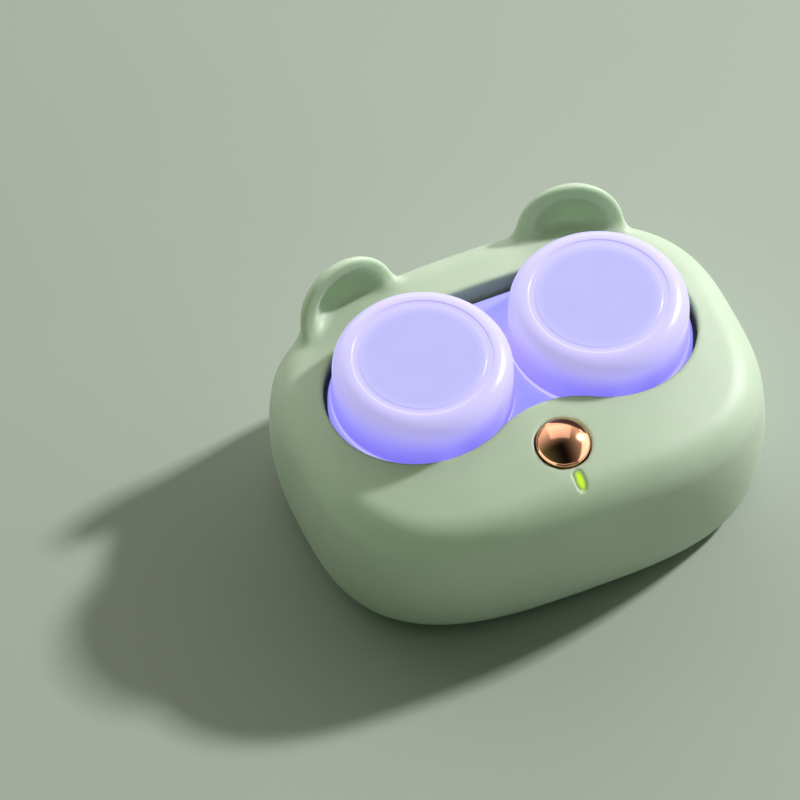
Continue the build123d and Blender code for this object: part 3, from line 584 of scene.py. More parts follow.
# %% Fill lamp
def card(name, turn, height, wide, high, level, distance=0.8):
    """Add a flat lamp that faces the machine: two angles and a distance give its place, a level its light.

    The angles are in degrees: the turn from the machine's right towards its back, and the height. The
    level is how bright the lamp itself looks, where 1 is a white wall in full light.
    """
    data = bpy.data.lights.new(name, "AREA")
    data.shape = "RECTANGLE"
    data.size, data.size_y = wide, high
    data.energy = level * math.pi * wide * high
    lamp = bpy.data.objects.new(name, data)
    bpy.context.collection.objects.link(lamp)
    towards = Vector((math.cos(math.radians(turn)) * math.cos(math.radians(height)),
                      math.sin(math.radians(turn)) * math.cos(math.radians(height)),
                      math.sin(math.radians(height))))
    lamp.location = distance * towards
    lamp.rotation_mode = "QUATERNION"
    lamp.rotation_quaternion = towards.to_track_quat("Z", "Y")
    return lamp


lit_by_fill = bpy.data.collections.new("lit_by_fill")
lit_by_fill.objects.link(case_shell)
fill = card("fill_softbox", 252, 62, 0.5, 0.5, 2.2, 0.9)
fill.data.color = linear("#ECFFDC")[:3]
fill.light_linking.receiver_collection = lit_by_fill
print("fill lamp, W:", round(fill.data.energy, 2))

# %% [markdown]
# ## Turned pieces
# Caps, button, feet and the driver's coil are all round. Each is made as on a lathe: half a section is
# drawn once, as points at a distance from the axis and a height, and carried round the axis. Where a
# section bends, it has a few points close together, so the shading runs smoothly round the bend.

# %% Lathe
def bend(centre, radii, start, end, steps=8):
    """Return points on an elliptical arc of a section, between two angles in degrees."""
    angles = np.radians(np.linspace(start, end, steps + 1))
    return [(centre[0] + radii[0] * math.cos(a), centre[1] + radii[1] * math.sin(a)) for a in angles]


def join_rings(rings, closed):
    """Return the points and faces of a surface that runs from ring to ring: one point makes an end."""
    points = [point for ring in rings for point in ring]
    spans, start = [], 0
    for ring in rings:
        spans.append((start, len(ring)))
        start += len(ring)
    if closed:
        spans.append(spans[0])
    steps = max(count for _, count in spans)
    faces = []
    for (low, low_count), (high, high_count) in zip(spans, spans[1:]):
        for k in range(steps):
            n = (k + 1) % steps
            corners = [low + k % low_count, low + n % low_count, high + n % high_count, high + k % high_count]
            face = list(dict.fromkeys(corners))
            if len(face) > 2:
                faces.append(face)
    return points, faces


def lathe(section, centre, steps=128, axis=(0, 0, 1)):
    """Return the points and faces of a section turned about an axis through a centre."""
    out = Vector(axis).normalized()
    turn = Vector((0, 0, 1)).rotation_difference(out).to_matrix()
    nearly_zero = 1e-6
    rings = []
    for radius, rise in section:
        ring = []
        for k in range(steps if radius > nearly_zero else 1):
            angle = 2 * math.pi * k / steps
            place = turn @ Vector((radius * math.cos(angle), radius * math.sin(angle), rise))
            ring.append(tuple(np.array(centre) + np.array(place)))
        rings.append(ring)
    return join_rings(rings, closed=section[0][0] > nearly_zero)


print("a lathe turns one section into", len(lathe([(0, 0), (1, 0), (1, 1), (0, 1)], (0, 0, 0))[1]), "faces")

# %% [markdown]
# ## Frosted violet caps
# The screw caps are moulded in tinted polypropylene with a frosted skin. The plastic is cloudy, so the violet
# light that comes up from the wells is scattered in it and comes out everywhere. Here that glow is not lit
# but painted into the emission colour. It is painted deep at the skirt, where the wall is thick or the light
# is near, palest at the round shoulder, and a clear lavender over the flat middle. The shoulder's base colour
# is painted paler as well. So the painted glow is worked out from two measures: the height of a point, and
# how far it is from the cap's axis.

# %% Finish of the caps
clear_radius, pale_radius = 8.6, 11.8    # from the clear middle of the top to the pale shoulder
top_band = (0.6, 0.1)                    # mm below its top, between which skirt colours give way to top ones


def frosted_cap_plastic(name, axis_x):
    """Frosted tinted polypropylene with a painted glow: deep violet low down, pale higher up, clear on top.
    """
    finish, tree, shader, place = new_finish(name)
    level = add_node(tree, "ShaderNodeSeparateXYZ", links={"Vector": place}).outputs["Z"]
    rise = add_node(tree, "ShaderNodeMapRange", {"From Min": cap_foot * MM, "From Max": cap_top * MM},
                    {"Value": level})
    body = add_node(tree, "ShaderNodeValToRGB", links={"Fac": rise.outputs["Result"]},
                    stops=[(0.0, "#C7BFFB"), (0.07, "#C0B6FA"), (0.11, "#7F73F2"), (0.42, "#897EF6"),
                           (0.68, "#9A90EC"), (0.93, "#ABA4DC")])
    from_axis = add_node(tree, "ShaderNodeMapping",
                         {"Location": (-axis_x * MM, -cap_y * MM, 0), "Scale": (1, 1, 0)}, {"Vector": place})
    reach = add_node(tree, "ShaderNodeVectorMath", links={0: from_axis.outputs["Vector"]}, operation="LENGTH")
    spread = add_node(tree, "ShaderNodeMapRange",
                      {"From Min": clear_radius * MM, "From Max": pale_radius * MM},
                      {"Value": reach.outputs["Value"]}, interpolation_type="SMOOTHSTEP")
    on_shoulder = spread.outputs["Result"]
    top = add_node(tree, "ShaderNodeValToRGB", links={"Fac": on_shoulder},
                   stops=[(0.0, "#9291D0"), (1.0, "#ABA4DC")])
    flat_top = add_node(tree, "ShaderNodeMapRange",
                        {"From Min": (cap_top - top_band[0]) * MM, "From Max": (cap_top - top_band[1]) * MM},
                        {"Value": level}, interpolation_type="SMOOTHSTEP")
    both = {"Factor": flat_top.outputs["Result"], 6: body.outputs["Color"], 7: top.outputs["Color"]}
    glow = add_node(tree, "ShaderNodeMix", links=both, data_type="RGBA")
    # painted glow: the emission colour is set by height and distance from the axis
    tree.links.new(glow.outputs[2], shader.inputs["Emission Color"])
    cloud = mottle(tree, place, 6, "#8A88A4", "#908EA9")
    # painted light: the base colour is painted paler on the shoulder
    pale = add_node(tree, "ShaderNodeMix", {7: linear("#9A96AE")}, {"Factor": on_shoulder, 6: cloud},
                    data_type="RGBA")
    tree.links.new(pale.outputs[2], shader.inputs["Base Color"])
    grain(tree, shader, place, 0.18, 0.002, 0.3)
    set_shader(shader, Roughness=0.27, IOR=1.49, Emission_Strength=1.0)
    return finish


def painted_glow_plate():
    """The same polypropylene as a thin plate over the lights: a violet glow painted into its emission, a
    little uneven in patches.
    """
    finish, tree, shader, place = new_finish("frosted_polypropylene_plate")
    # painted glow: a mottled violet emission colour
    tree.links.new(mottle(tree, place, 9, "#8787F0", "#9090F2"), shader.inputs["Emission Color"])
    tree.links.new(mottle(tree, place, 6, "#8A89A8", "#9090AE"), shader.inputs["Base Color"])
    grain(tree, shader, place, 0.18, 0.003, 0.3)
    set_shader(shader, Roughness=0.35, IOR=1.49, Emission_Strength=1.0)
    return finish


cap_plastics = {side: frosted_cap_plastic(f"frosted_polypropylene_{side}_cap", sign * cap_x)
                for side, sign in (("left", -1), ("right", 1))}
plate_plastic = painted_glow_plate()
print("finishes:", [finish.name for finish in cap_plastics.values()], plate_plastic.name)

# %% [markdown]
# A cap is 30 mm across. From its foot up it has a thin lip, a nearly straight skirt, a full round
# shoulder, and a shallow ring groove round a middle that lies a touch lower. Inside are a flat ceiling,
# which presses on the seal, and nearly one turn of thread. They show when the cap comes off.

# %% Caps
cap_height = cap_top - cap_foot
skirt_radius = cap_radius - 0.2
lip_height, lip_edge = 1.1, 0.27
shoulder_width, shoulder_height = 3.0, 3.2
groove_inner, groove_outer, groove_depth, groove_edge = 10.35, 11.55, 0.16, 0.10
middle_drop = 0.12
cap_bore, cap_top_wall = 13.4, 1.65
bore_edge, bore_corner = 0.3, 0.8
step_round, groove_lead = 0.25, 0.05     # where the lip meets the skirt, and where the groove begins


def cap_section():
    """Return half the section of a cap, with heights measured from the foot of the cap."""
    ceiling = cap_height - middle_drop - cap_top_wall
    middle = (groove_inner + groove_outer) / 2
    half = (groove_outer - groove_inner) / 2
    section = [(0, ceiling), (cap_bore - bore_corner, ceiling)]
    section += bend((cap_bore - bore_corner, ceiling - bore_corner), (bore_corner, bore_corner), 90, 0, 4)
    section += bend((cap_bore + bore_edge, bore_edge), (bore_edge, bore_edge), 180, 270, 4)
    section += bend((cap_radius - lip_edge, lip_edge), (lip_edge, lip_edge), 270, 360, 6)
    section += bend((cap_radius - lip_edge, lip_height - lip_edge), (lip_edge, lip_edge), 0, 70, 6)
    section += bend((skirt_radius + step_round, lip_height + step_round), (step_round, step_round),
                    250, 180, 4)
    section += bend((skirt_radius - shoulder_width, cap_height - shoulder_height),
                    (shoulder_width, shoulder_height), 0, 88, 18)
    section += bend((groove_outer + groove_edge, cap_height - groove_edge), (groove_edge, groove_edge),
                    90, 150, 5)
    section += bend((middle, cap_height - groove_edge), (half - groove_lead, groove_depth - groove_edge),
                    0, -180, 14)
    inner_top = cap_height - middle_drop
    section += bend((groove_inner - groove_edge, inner_top - groove_edge), (groove_edge, groove_edge),
                    30, 90, 5)
    section += [(r, inner_top) for r in np.linspace(groove_inner - 1.2, 0, 8)]
    return section


cap_rings = cap_section()
for side, sign in (("left", -1), ("right", 1)):
    points, faces = lathe(cap_rings, (sign * cap_x, cap_y, cap_foot), steps=192)
    piece = new_piece(f"{side}_cap_moulding", points, faces, f"{side}_cap", "frosted", cap_plastics[side])
    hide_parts(f"{side}_cap")
    print(piece.name, "faces:", len(faces))

# %% [markdown]
# ## Screw threads
# A thread is one ridge that climbs round a cylinder. Here it is a half-round bead whose ends taper away,
# as a moulded thread's do. The ridge on the neck and the ridge in the cap climb by the same 5 mm a turn.
# The cap's is set a quarter of a climb higher, so that the two pass each other and never meet.

# %% Threads
thread_climb = 5.0                       # mm for one turn
thread_width, thread_proud = 1.3, 0.3
thread_sunk = 0.05                       # its foot starts this far inside the wall, so no gap can show
end_parts = 6                            # each end tapers over one of so many parts of its length
thread_foot, neck_radius = 26.2, 12.6
neck_turns, cap_turns = 1.1, 0.9


def thread(name, centre, radius, outward, low, turns, body, finish):
    """Make one ridge of thread on a cylinder: outward is 1 on a neck, and -1 in a bore."""
    points, faces = [], []
    steps = int(96 * turns)
    corners = [0, 0.25, 0.5, 0.75, 1]
    for k in range(steps + 1):
        angle = 2 * math.pi * turns * k / steps
        taper = min(1, end_parts * k / steps, end_parts * (steps - k) / steps)
        for share in corners:
            reach = radius + outward * (thread_proud * taper * math.sin(math.pi * share) - thread_sunk)
            rise = low + thread_climb * turns * k / steps + thread_width * taper * (share - 0.5)
            points.append((centre[0] + reach * math.cos(angle), centre[1] + reach * math.sin(angle), rise))
    width = len(corners)
    for k in range(steps):
        for j in range(width - 1):
            a = k * width + j
            face = [a, a + width, a + width + 1, a + 1]
            faces.append(face if outward > 0 else face[::-1])
    return new_piece(name, points, faces, body, "frosted", finish)


for side, sign in (("left", -1), ("right", 1)):
    centre = (sign * cap_x, cap_y)
    thread(f"{side}_neck_thread", centre, neck_radius, 1, thread_foot, neck_turns, "lens_case", plate_plastic)
    thread(f"{side}_cap_thread", centre, cap_bore, -1, thread_foot + thread_climb / 4, cap_turns,
           f"{side}_cap", cap_plastics[side])
print("thread climbs, mm a turn:", thread_climb)

# %% [markdown]
# ## Finishes of the other pieces
# Pieces of the frame whose shape is right keep it and only get a finish. Each finish starts from what
# the real piece is made of. First the soft ones: silicone rings, rubber feet and the foam pad.

# %% Silicone, rubber and foam
def dress(finish, *nodes):
    """Put a finish on pieces of the frame, whose shape stays as it is."""
    for name in nodes:
        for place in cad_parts[name].material_slots:
            place.material = finish
    print(finish.name, "on", len(nodes), "pieces")


def cured_silicone():
    """Milky cured silicone: soft and slightly see-through at its edges, with a dusty satin skin."""
    finish, tree, shader, place = new_finish("cured_silicone_milky")
    tree.links.new(mottle(tree, place, 3, "#D9D9D4", "#E4E4DF"), shader.inputs["Base Color"])
    grain(tree, shader, place, 0.2, 0.003, 0.4)
    set_shader(shader, Roughness=0.55, IOR=1.41, Subsurface_Weight=0.35, Subsurface_Radius=(1.0, 0.9, 0.8),
               Subsurface_Scale=0.8 * MM)
    return finish


def moulded_rubber():
    """Moulded dark rubber: almost no gloss, and a fine skin that dust dulls in patches."""
    finish, tree, shader, place = new_finish("moulded_rubber_dark")
    tree.links.new(mottle(tree, place, 2, "#232523", "#2E302E", 5), shader.inputs["Base Color"])
    grain(tree, shader, place, 0.3, 0.02, 0.8)
    set_shader(shader, Roughness=0.82, IOR=1.52)
    return finish


def cell_foam():
    """Open-cell foam tape: round pores half a millimetre wide, with painted shade inside each pore."""
    finish, tree, shader, place = new_finish("open_cell_foam_charcoal")
    pores = add_node(tree, "ShaderNodeTexVoronoi", {"Scale": repeats(0.5)}, {"Vector": place})
    # painted shade: each pore is darker towards its middle, where the bump sinks it
    pore_painted_shade = add_node(tree, "ShaderNodeValToRGB", links={"Fac": pores.outputs["Distance"]},
                    stops=[(0.0, "#1A1A1B"), (1.0, "#3A3A3C")])
    bump = add_node(tree, "ShaderNodeBump", {"Strength": 0.8, "Distance": 0.15 * MM},
                    {"Height": pores.outputs["Distance"]})
    tree.links.new(pore_painted_shade.outputs["Color"], shader.inputs["Base Color"])
    tree.links.new(bump.outputs["Normal"], shader.inputs["Normal"])
    set_shader(shader, Roughness=0.95, IOR=1.45)
    return finish


dress(cured_silicone(), "left_cap_seal", "right_cap_seal", "left_plate_gasket", "right_plate_gasket")
rubber = moulded_rubber()
dress(cell_foam(), "battery_pad")

# %% [markdown]
# The tray under the lens case is moulded in greyish clear plastic with an etched skin, so the lights under it
# shine through, and a faint violet glow is painted into it as well. The cover under the machine is the same
# ABS as the case, a little darker.

# %% Tray, cover and lens case
def etched_clear(name, low, high, glow):
    """Etched polycarbonate: greyish and cloudy, with a faint violet glow painted into its emission for the
    lights below.
    """
    finish, tree, shader, place = new_finish(name)
    tree.links.new(mottle(tree, place, 5, low, high), shader.inputs["Base Color"])
    grain(tree, shader, place, 0.22, 0.006, 0.5)
    # painted glow: a faint violet emission
    set_shader(shader, Roughness=0.42, IOR=1.58, Subsurface_Weight=0.2, Subsurface_Radius=(0.8, 0.8, 1.0),
               Subsurface_Scale=1.0 * MM, Emission_Color=linear(glow), Emission_Strength=0.02)
    return finish


dress(etched_clear("etched_polycarbonate_tray", "#7E7E88", "#8A8A94", "#6C63D8"), "recess_tray")
dress(cover_plastic, "base_cover")
dress(plate_plastic, "lens_case")

# %% [markdown]
# ## The copper-coloured button
# The button is plastic with a bright plated skin, tinted like copper. A plated dome mirrors all that
# stands round it in miniature: the lamp as a small sharp spot, a pale card behind as a broad band, and
# the dark part of the room as a rounded patch. All that the finish needs is to be metal, very smooth,
# and very nearly of one colour.

# %% Button
def copper_plate():
    """Bright copper-tinted plating: a mirror that has picked up a faint haze from fingers."""
    finish, tree, shader, place = new_finish("bright_copper_plating")
    haze = add_node(tree, "ShaderNodeTexNoise", {"Scale": repeats(1.5), "Detail": 4.0}, {"Vector": place})
    rough = add_node(tree, "ShaderNodeMapRange", {"To Min": 0.06, "To Max": 0.17},
                     {"Value": haze.outputs["Fac"]})
    tree.links.new(rough.outputs["Result"], shader.inputs["Roughness"])
    tree.links.new(mottle(tree, place, 2, "#EBA784", "#F0AE8B"), shader.inputs["Base Color"])
    set_shader(shader, Metallic=1.0)
    return finish


button_dome, button_rim, button_wall = 1.7, 0.15, 0.9
button_edge, dome_inset = 0.22, 0.16     # the bright edge's radius, and where the dome begins inside it
lip_foot, stem_radius, stem_foot = -3.4, 1.5, -5.0
button_axis = (0, -math.sin(button_tilt), math.cos(button_tilt))


def button_section():
    """Return half the section of the button: a dome with a small bright edge, a skirt and a stem."""
    drop = button_dome - button_rim
    dome_radius = (button_radius**2 + drop**2) / (2 * drop)
    bore, ceiling = button_radius - button_wall, button_rim - button_wall
    section = [(0, stem_foot), (stem_radius, stem_foot), (stem_radius, ceiling), (bore, ceiling)]
    section += [(bore, lip_foot), (button_radius, lip_foot)]
    section += bend((button_radius - button_edge, button_rim - button_edge), (button_edge, button_edge),
                    0, 62, 6)
    for radius in np.linspace(button_radius - dome_inset, 0, 24):
        section.append((radius, button_dome - dome_radius + math.sqrt(dome_radius**2 - radius**2)))
    return section


copper = copper_plate()
points, faces = lathe(button_section(), (0, button_y, button_z), steps=128, axis=button_axis)
button_piece = new_piece("button_dome", points, faces, "button", "copper", copper)
print("button dome:", len(faces), "faces")

# %% [markdown]
# Two tabs at the foot of the button catch under the case, so that it can be pressed but not pulled out.
# They are blocks with bevelled edges, as many small parts further on are. No real edge is quite sharp,
# and even a bevel of a tenth of a millimetre catches a line of light. All blocks of a part are joined
# into one piece.

# %% Blocks with small bevels
def block(centre, size, edge, turn=None):
    """Return the points and faces of a bevelled block, in millimetres, turned by a matrix if one is given."""
    form = bmesh.new()
    bmesh.ops.create_cube(form, size=1)
    bmesh.ops.scale(form, vec=size, verts=form.verts)
    bmesh.ops.bevel(form, geom=form.edges[:], offset=edge, segments=2, profile=0.5, affect="EDGES")
    places = [turn @ v.co if turn else v.co for v in form.verts]
    points = [tuple(np.array(centre) + np.array(p)) for p in places]
    faces = [[v.index for v in f.verts] for f in form.faces]
    form.free()
    return points, faces


def joined(*parts):
    """Return several sets of points and faces as one."""
    points, faces = [], []
    for more_points, more_faces in parts:
        start = len(points)
        points += [tuple(p) for p in more_points]
        faces += [[start + k for k in face] for face in more_faces]
    return points, faces


tilt_turn = Matrix.Rotation(button_tilt, 3, "X")
tab_inside, tab_outside = 0.25, 0.75     # how far a tab reaches into the skirt, and out of it
tab_length, tab_thickness, tab_bevel = 4.0, 0.8, 0.12


def on_button(sideways, back, out):
    """Return the place of a point given in the button's own directions."""
    return np.array((0, button_y, button_z)) + np.array(tilt_turn @ Vector((sideways, back, out)))


tab_middle = button_radius + (tab_outside - tab_inside) / 2
tab_size = (tab_inside + tab_outside, tab_length, tab_thickness)
tabs = [block(on_button(sign * tab_middle, 0, lip_foot + tab_thickness / 2), tab_size, tab_bevel, tilt_turn)
        for sign in (-1, 1)]
new_piece("button_tabs", *joined(*tabs), "button", "copper", copper, smooth=False)
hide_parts("button_cap")
print("button tabs:", len(tabs))

# %% [markdown]
# A mirror shows only what stands round it, so polished metal gets cards of its own, which light nothing
# else: a high one behind, low ones at both sides, and a narrow one in front. Between them stays a dark
# part of the room, and shows in the middle of the dome.

# %% Cards for the button
mirrors = bpy.data.collections.new("mirrors")
for piece in (button_piece, bpy.data.objects["button_tabs"]):
    mirrors.objects.link(piece)
for name, turn, height, wide, high, level in (("card_back", 70, 50, 0.66, 0.62, 0.68),
                                              ("card_left", 190, 18, 1.3, 0.56, 1.3),
                                              ("card_right", -18, 18, 1.3, 0.56, 1.5),
                                              ("card_front", -105, 27, 1.0, 0.16, 1.2)):
    card(name, turn, height, wide, high, level).light_linking.receiver_collection = mirrors

# %% [markdown]
# ## The light in front of the button
# A small clear moulding leads light from a diode on the board up to the surface. It ends flush in a slot
# with round ends. Lit from below it glows evenly, a little brighter along its middle.

# %% Light pipe
def lit_acrylic():
    """Clear acrylic lit yellow-green: bright along its middle, and frosted and paler towards its edge."""
    finish, tree, shader, place = new_finish("lit_acrylic_green")
    across, along = repeats(0.62), repeats(1.6)              # about half the light's width and length
    from_middle = add_node(tree, "ShaderNodeMapping",
                           {"Location": (0, -(button_y - light_ahead) * MM * along, 0),
                            "Scale": (across, along, 0)}, {"Vector": place})
    reach = add_node(tree, "ShaderNodeVectorMath", links={0: from_middle.outputs["Vector"]},
                     operation="LENGTH").outputs["Value"]
    cloud = add_node(tree, "ShaderNodeTexNoise", {"Scale": repeats(0.8), "Detail": 2.0}, {"Vector": place})
    uneven = add_node(tree, "ShaderNodeMapRange", {"To Min": -0.08, "To Max": 0.08},
                      {"Value": cloud.outputs["Fac"]})
    edge = add_node(tree, "ShaderNodeMath", links={0: reach, 1: uneven.outputs["Result"]}, operation="ADD")
    glow = add_node(tree, "ShaderNodeValToRGB", links={"Fac": edge.outputs[0]},
                    stops=[(0.0, "#CFF005"), (0.6, "#C0E80C"), (0.85, "#98C04A"), (1.0, "#84A266")])
    tree.links.new(glow.outputs["Color"], shader.inputs["Emission Color"])
    set_shader(shader, Base_Color=linear("#5E6B3A"), Roughness=0.35, IOR=1.49, Emission_Strength=1.0)
    return finish


dress(lit_acrylic(), "light_pipe")

# %% [markdown]
# ## Feet
# Four round rubber feet sit in shallow wells of the cover. A real foot has a soft edge and a shallow
# dimple pressed into its face, so it grips even where the table is a little wet.

# %% Feet
foot_radius, foot_height, foot_edge = 4.0, 1.6, 0.4
dimple_radius, dimple_depth = 2.1, 0.25


def foot_section():
    """Return half the section of a foot, from the middle of its face to the middle of its top."""
    section = [(0, dimple_depth)]
    section += bend((dimple_radius, dimple_depth), (dimple_depth, dimple_depth), 180, 270, 4)
    section += bend((foot_radius - foot_edge, foot_edge), (foot_edge, foot_edge), 270, 360, 6)
    return section + [(foot_radius, foot_height), (0, foot_height)]


feet_foot = node_box("rubber_feet")[0][2]
foot_places = [(sign * x, y) for x, y in ((16.5, -18.5), (25.0, 12.5)) for sign in (-1, 1)]
feet = [lathe(foot_section(), (x, y, feet_foot), steps=64) for x, y in foot_places]
feet_piece = new_piece("pressed_feet", *joined(*feet), "case", "rubber", rubber, smooth=False)
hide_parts("rubber_feet")
print("feet stand on z, mm:", round(float(feet_foot), 3))

# %% [markdown]
# ## Screws
# All the screws are alike but for their size: a pan head with a cross recess, and a thread that cuts its
# own way into the plastic. The same trick as for the case gives one screw: a head and a shank joined, a
# wavy shank for the thread, and a cross of two tapering slots taken away. It is made once for each size
# and then copied to each place.

# %% Screws
def zinc_plated():
    """Zinc-plated steel: pale grey metal with a slight haze and tiny tool marks."""
    finish, tree, shader, place = new_finish("zinc_plated_steel")
    tree.links.new(mottle(tree, place, 0.8, "#B4B6B4", "#C3C5C3"), shader.inputs["Base Color"])
    haze = add_node(tree, "ShaderNodeTexNoise", {"Scale": repeats(0.3), "Detail": 3.0}, {"Vector": place})
    rough = add_node(tree, "ShaderNodeMapRange", {"To Min": 0.25, "To Max": 0.42},
                     {"Value": haze.outputs["Fac"]})
    tree.links.new(rough.outputs["Result"], shader.inputs["Roughness"])
    set_shader(shader, Metallic=1.0)
    return finish


def screw_form(shank_radius, head_radius, head_height, length):
    """Return one screw whose head's seat lies at z = 0, with its shank upwards."""
    pitch, slot_half, slot_depth = 0.35 * shank_radius + 0.35, 0.16 * head_radius, 0.55 * head_height

    def distance(x, y, z):
        reach = np.hypot(x, y)
        turn = np.arctan2(y, x) / (2 * math.pi)
        ridge = 0.09 * shank_radius * (np.abs(2 * ((z / pitch - turn) % 1) - 1) - 1)
        point = np.maximum(0, z - length + 1.5 * shank_radius) * 0.5
        shank = cut_common(reach - shank_radius - ridge + point, np.maximum(z - length, -z - 0.1), 0.05)
        crown = np.hypot(reach, z - 2.2 * head_height) - 3.2 * head_height
        head = cut_common(cut_common(reach - head_radius, crown, 0.25 * head_height), z, 0.06)
        depth = z + head_height - slot_depth
        cross = np.minimum(np.maximum(np.abs(x) - slot_half, np.abs(y) - 0.62 * head_radius),
                           np.maximum(np.abs(y) - slot_half, np.abs(x) - 0.62 * head_radius))
        cross = np.maximum(cross + 0.3 * np.maximum(depth + slot_depth, 0), depth)
        return take_away(np.minimum(shank, head), cross, 0.04)

    step = head_radius / 14
    reach = head_radius + 2 * step
    low, high = (-reach, -reach, -head_height - 2 * step), (reach, reach, length + 2 * step)
    points, faces = skin(distance, low, high, step)
    return settle(distance, points, 2, probe=0.01), faces.tolist()


def screws(name, node, form, places, turn):
    """Copy a screw to each place, turned by a matrix, as one piece that stands for a node of the frame."""
    points, faces = form
    turned = points @ np.array(turn).T
    copies = [(turned + np.array(place), faces) for place in places]
    piece = new_piece(name, *joined(*copies), "case", "screw", zinc)
    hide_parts(node)
    print(name, "screws:", len(places))


zinc = zinc_plated()
upright, over = Matrix.Identity(3), Matrix.Rotation(math.pi, 3, "X")
small_screw = screw_form(0.8, 1.6, 0.9, 3.4)
every_side = [(sign, end) for sign in (-1, 1) for end in (-1, 1)]
board_low, board_high = node_box("main_board")
board_middle = (board_low + board_high) / 2
light_low, light_high = node_box("light_board")
light_middle = (light_low + light_high) / 2
cover_seat, tray_seat = 2.3, 21.1        # heights at which the heads are seated
switch_seat = -11.1                      # the same, along the button's own axis
tray_margin, tray_rear_x = 3.0, 10.0
board_margin, light_reach = 3.2, 7.6
switch_reach, switch_back = 7.2, -3.0
post_reach = (board_high - board_low) / 2 - board_margin
screws("cover_screws", "case_screws", screw_form(1.1, 1.9, 1.2, 7.0),
       [(sign * x, y, cover_seat) for x, y in boss_places for sign in (-1, 1)], upright)
screws("tray_fixing_screws", "tray_screws", small_screw,
       [(sign * cap_x, cap_y - opening_radius - tray_margin, tray_seat) for sign in (-1, 1)]
       + [(sign * tray_rear_x, opening_rear + tray_margin, tray_seat) for sign in (-1, 1)], upright)
screws("board_fixing_screws", "board_screws", small_screw,
       [(sign * post_reach[0], board_middle[1] + end * post_reach[1], board_high[2])
        for sign, end in every_side], over)
screws("light_board_fixing_screws", "light_screws", screw_form(0.8, 1.6, 0.9, 2.6),
       [(0, light_middle[1] + end * light_reach, light_low[2]) for end in (-1, 1)], upright)
screws("switch_board_fixing_screws", "switch_screws", small_screw,
       [tuple(on_button(sign * switch_reach, switch_back, switch_seat)) for sign in (-1, 1)], tilt_turn)

# %% [markdown]
# ## The charging socket
# The socket is a stadium-shaped shell folded from thin steel. Inside it stands a flat plastic tongue with
# a row of gold-plated contacts on each face. Its mouth lies 1 mm inside the back of the case. The shell
# is not round, but rings of points join in the same way as on the lathe, whatever the rings' shape.

# %% Charging socket
def folded_steel():
    """Folded stainless steel, bright from the rolling mill, with lines along the strip."""
    finish, tree, shader, place = new_finish("folded_stainless_steel")
    tree.links.new(mottle(tree, place, 2, "#BFC1C2", "#CBCDCE"), shader.inputs["Base Color"])
    long_grain = add_node(tree, "ShaderNodeMapping", {"Scale": (1, 12, 1)}, {"Vector": place})
    lines = add_node(tree, "ShaderNodeTexNoise", {"Scale": repeats(2.5), "Detail": 3.0},
                     {"Vector": long_grain.outputs["Vector"]})
    rough = add_node(tree, "ShaderNodeMapRange", {"To Min": 0.2, "To Max": 0.38},
                     {"Value": lines.outputs["Fac"]})
    tree.links.new(rough.outputs["Result"], shader.inputs["Roughness"])
    set_shader(shader, Metallic=1.0)
    return finish


def moulded_black(name, size_mm):
    """Glass-filled black plastic, as sockets, switches and chips are moulded in: dark, with a dull skin."""
    finish, tree, shader, place = new_finish(name)
    tree.links.new(mottle(tree, place, size_mm, "#1C1C1E", "#262628", 4), shader.inputs["Base Color"])
    grain(tree, shader, place, 0.15, 0.006, 0.6)
    set_shader(shader, Roughness=0.5, IOR=1.55)
    return finish


def gold_plate():
    """Gold-plated contacts: warm yellow metal, nearly mirror-smooth."""
    finish, tree, shader, place = new_finish("gold_plated_contacts")
    tree.links.new(mottle(tree, place, 0.5, "#E2B862", "#EBC373"), shader.inputs["Base Color"])
    set_shader(shader, Metallic=1.0, Roughness=0.22)
    return finish


def stadium(width, height, y, steps=12):
    """Return points round a stadium that stands upright at a distance along Y."""
    radius = height / 2
    reach = width / 2 - radius
    points = []
    for sign, start in ((1, -90), (-1, 90)):
        for k in range(steps + 1):
            angle = math.radians(start + 180 * k / steps)
            points.append((sign * reach + radius * math.cos(angle), y, port_z + radius * math.sin(angle)))
    return points


steel, black = folded_steel(), moulded_black("glass_filled_nylon_black", 1.5)
socket_low, socket_high = node_box("usb_socket")
socket_width, socket_height, sheet, mouth_depth = 8.94, 3.2, 0.3, 5.6
mouth_y, back_y = socket_high[1], socket_low[1]
mouth_edge = 0.1
bore_width, bore_height = socket_width - 2 * sheet, socket_height - 2 * sheet
rings = [stadium(socket_width, socket_height, back_y),
         stadium(socket_width, socket_height, mouth_y - mouth_edge),
         stadium(socket_width - 2 * mouth_edge, socket_height - 2 * mouth_edge, mouth_y),
         stadium(bore_width + mouth_edge, bore_height + mouth_edge, mouth_y),
         stadium(bore_width, bore_height, mouth_y - mouth_edge),
         stadium(bore_width, bore_height, mouth_y - mouth_depth),
         [(0, mouth_y - mouth_depth, port_z)], [(0, back_y, port_z)]]
folded_shell = join_rings(rings, closed=True)
shell_piece = new_piece("socket_shell", *folded_shell, "case", "socket", steel, smooth=False)
tongue_back, tongue_width, tongue_height = 1.0, 6.7, 0.7
tongue_y = mouth_y - (tongue_back + mouth_depth) / 2
tongue = block((0, tongue_y, port_z), (tongue_width, mouth_depth - tongue_back, tongue_height), 0.12)
new_piece("socket_tongue", *tongue, "case", "socket", black, smooth=False)
contact_count, contact_pitch, contact_size = 12, 0.5, (0.26, 3.0, 0.06)
contact_places = [contact_pitch * (k - (contact_count - 1) / 2) for k in range(contact_count)]
contacts = [block((x, tongue_y, port_z + side * tongue_height / 2), contact_size, 0.01)
            for x in contact_places for side in (-1, 1)]
new_piece("socket_contacts", *joined(*contacts), "case", "socket", gold_plate(), smooth=False)
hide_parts("usb_socket")
print("socket mouth at y, mm:", round(float(mouth_y), 2), "contacts:", len(contacts))

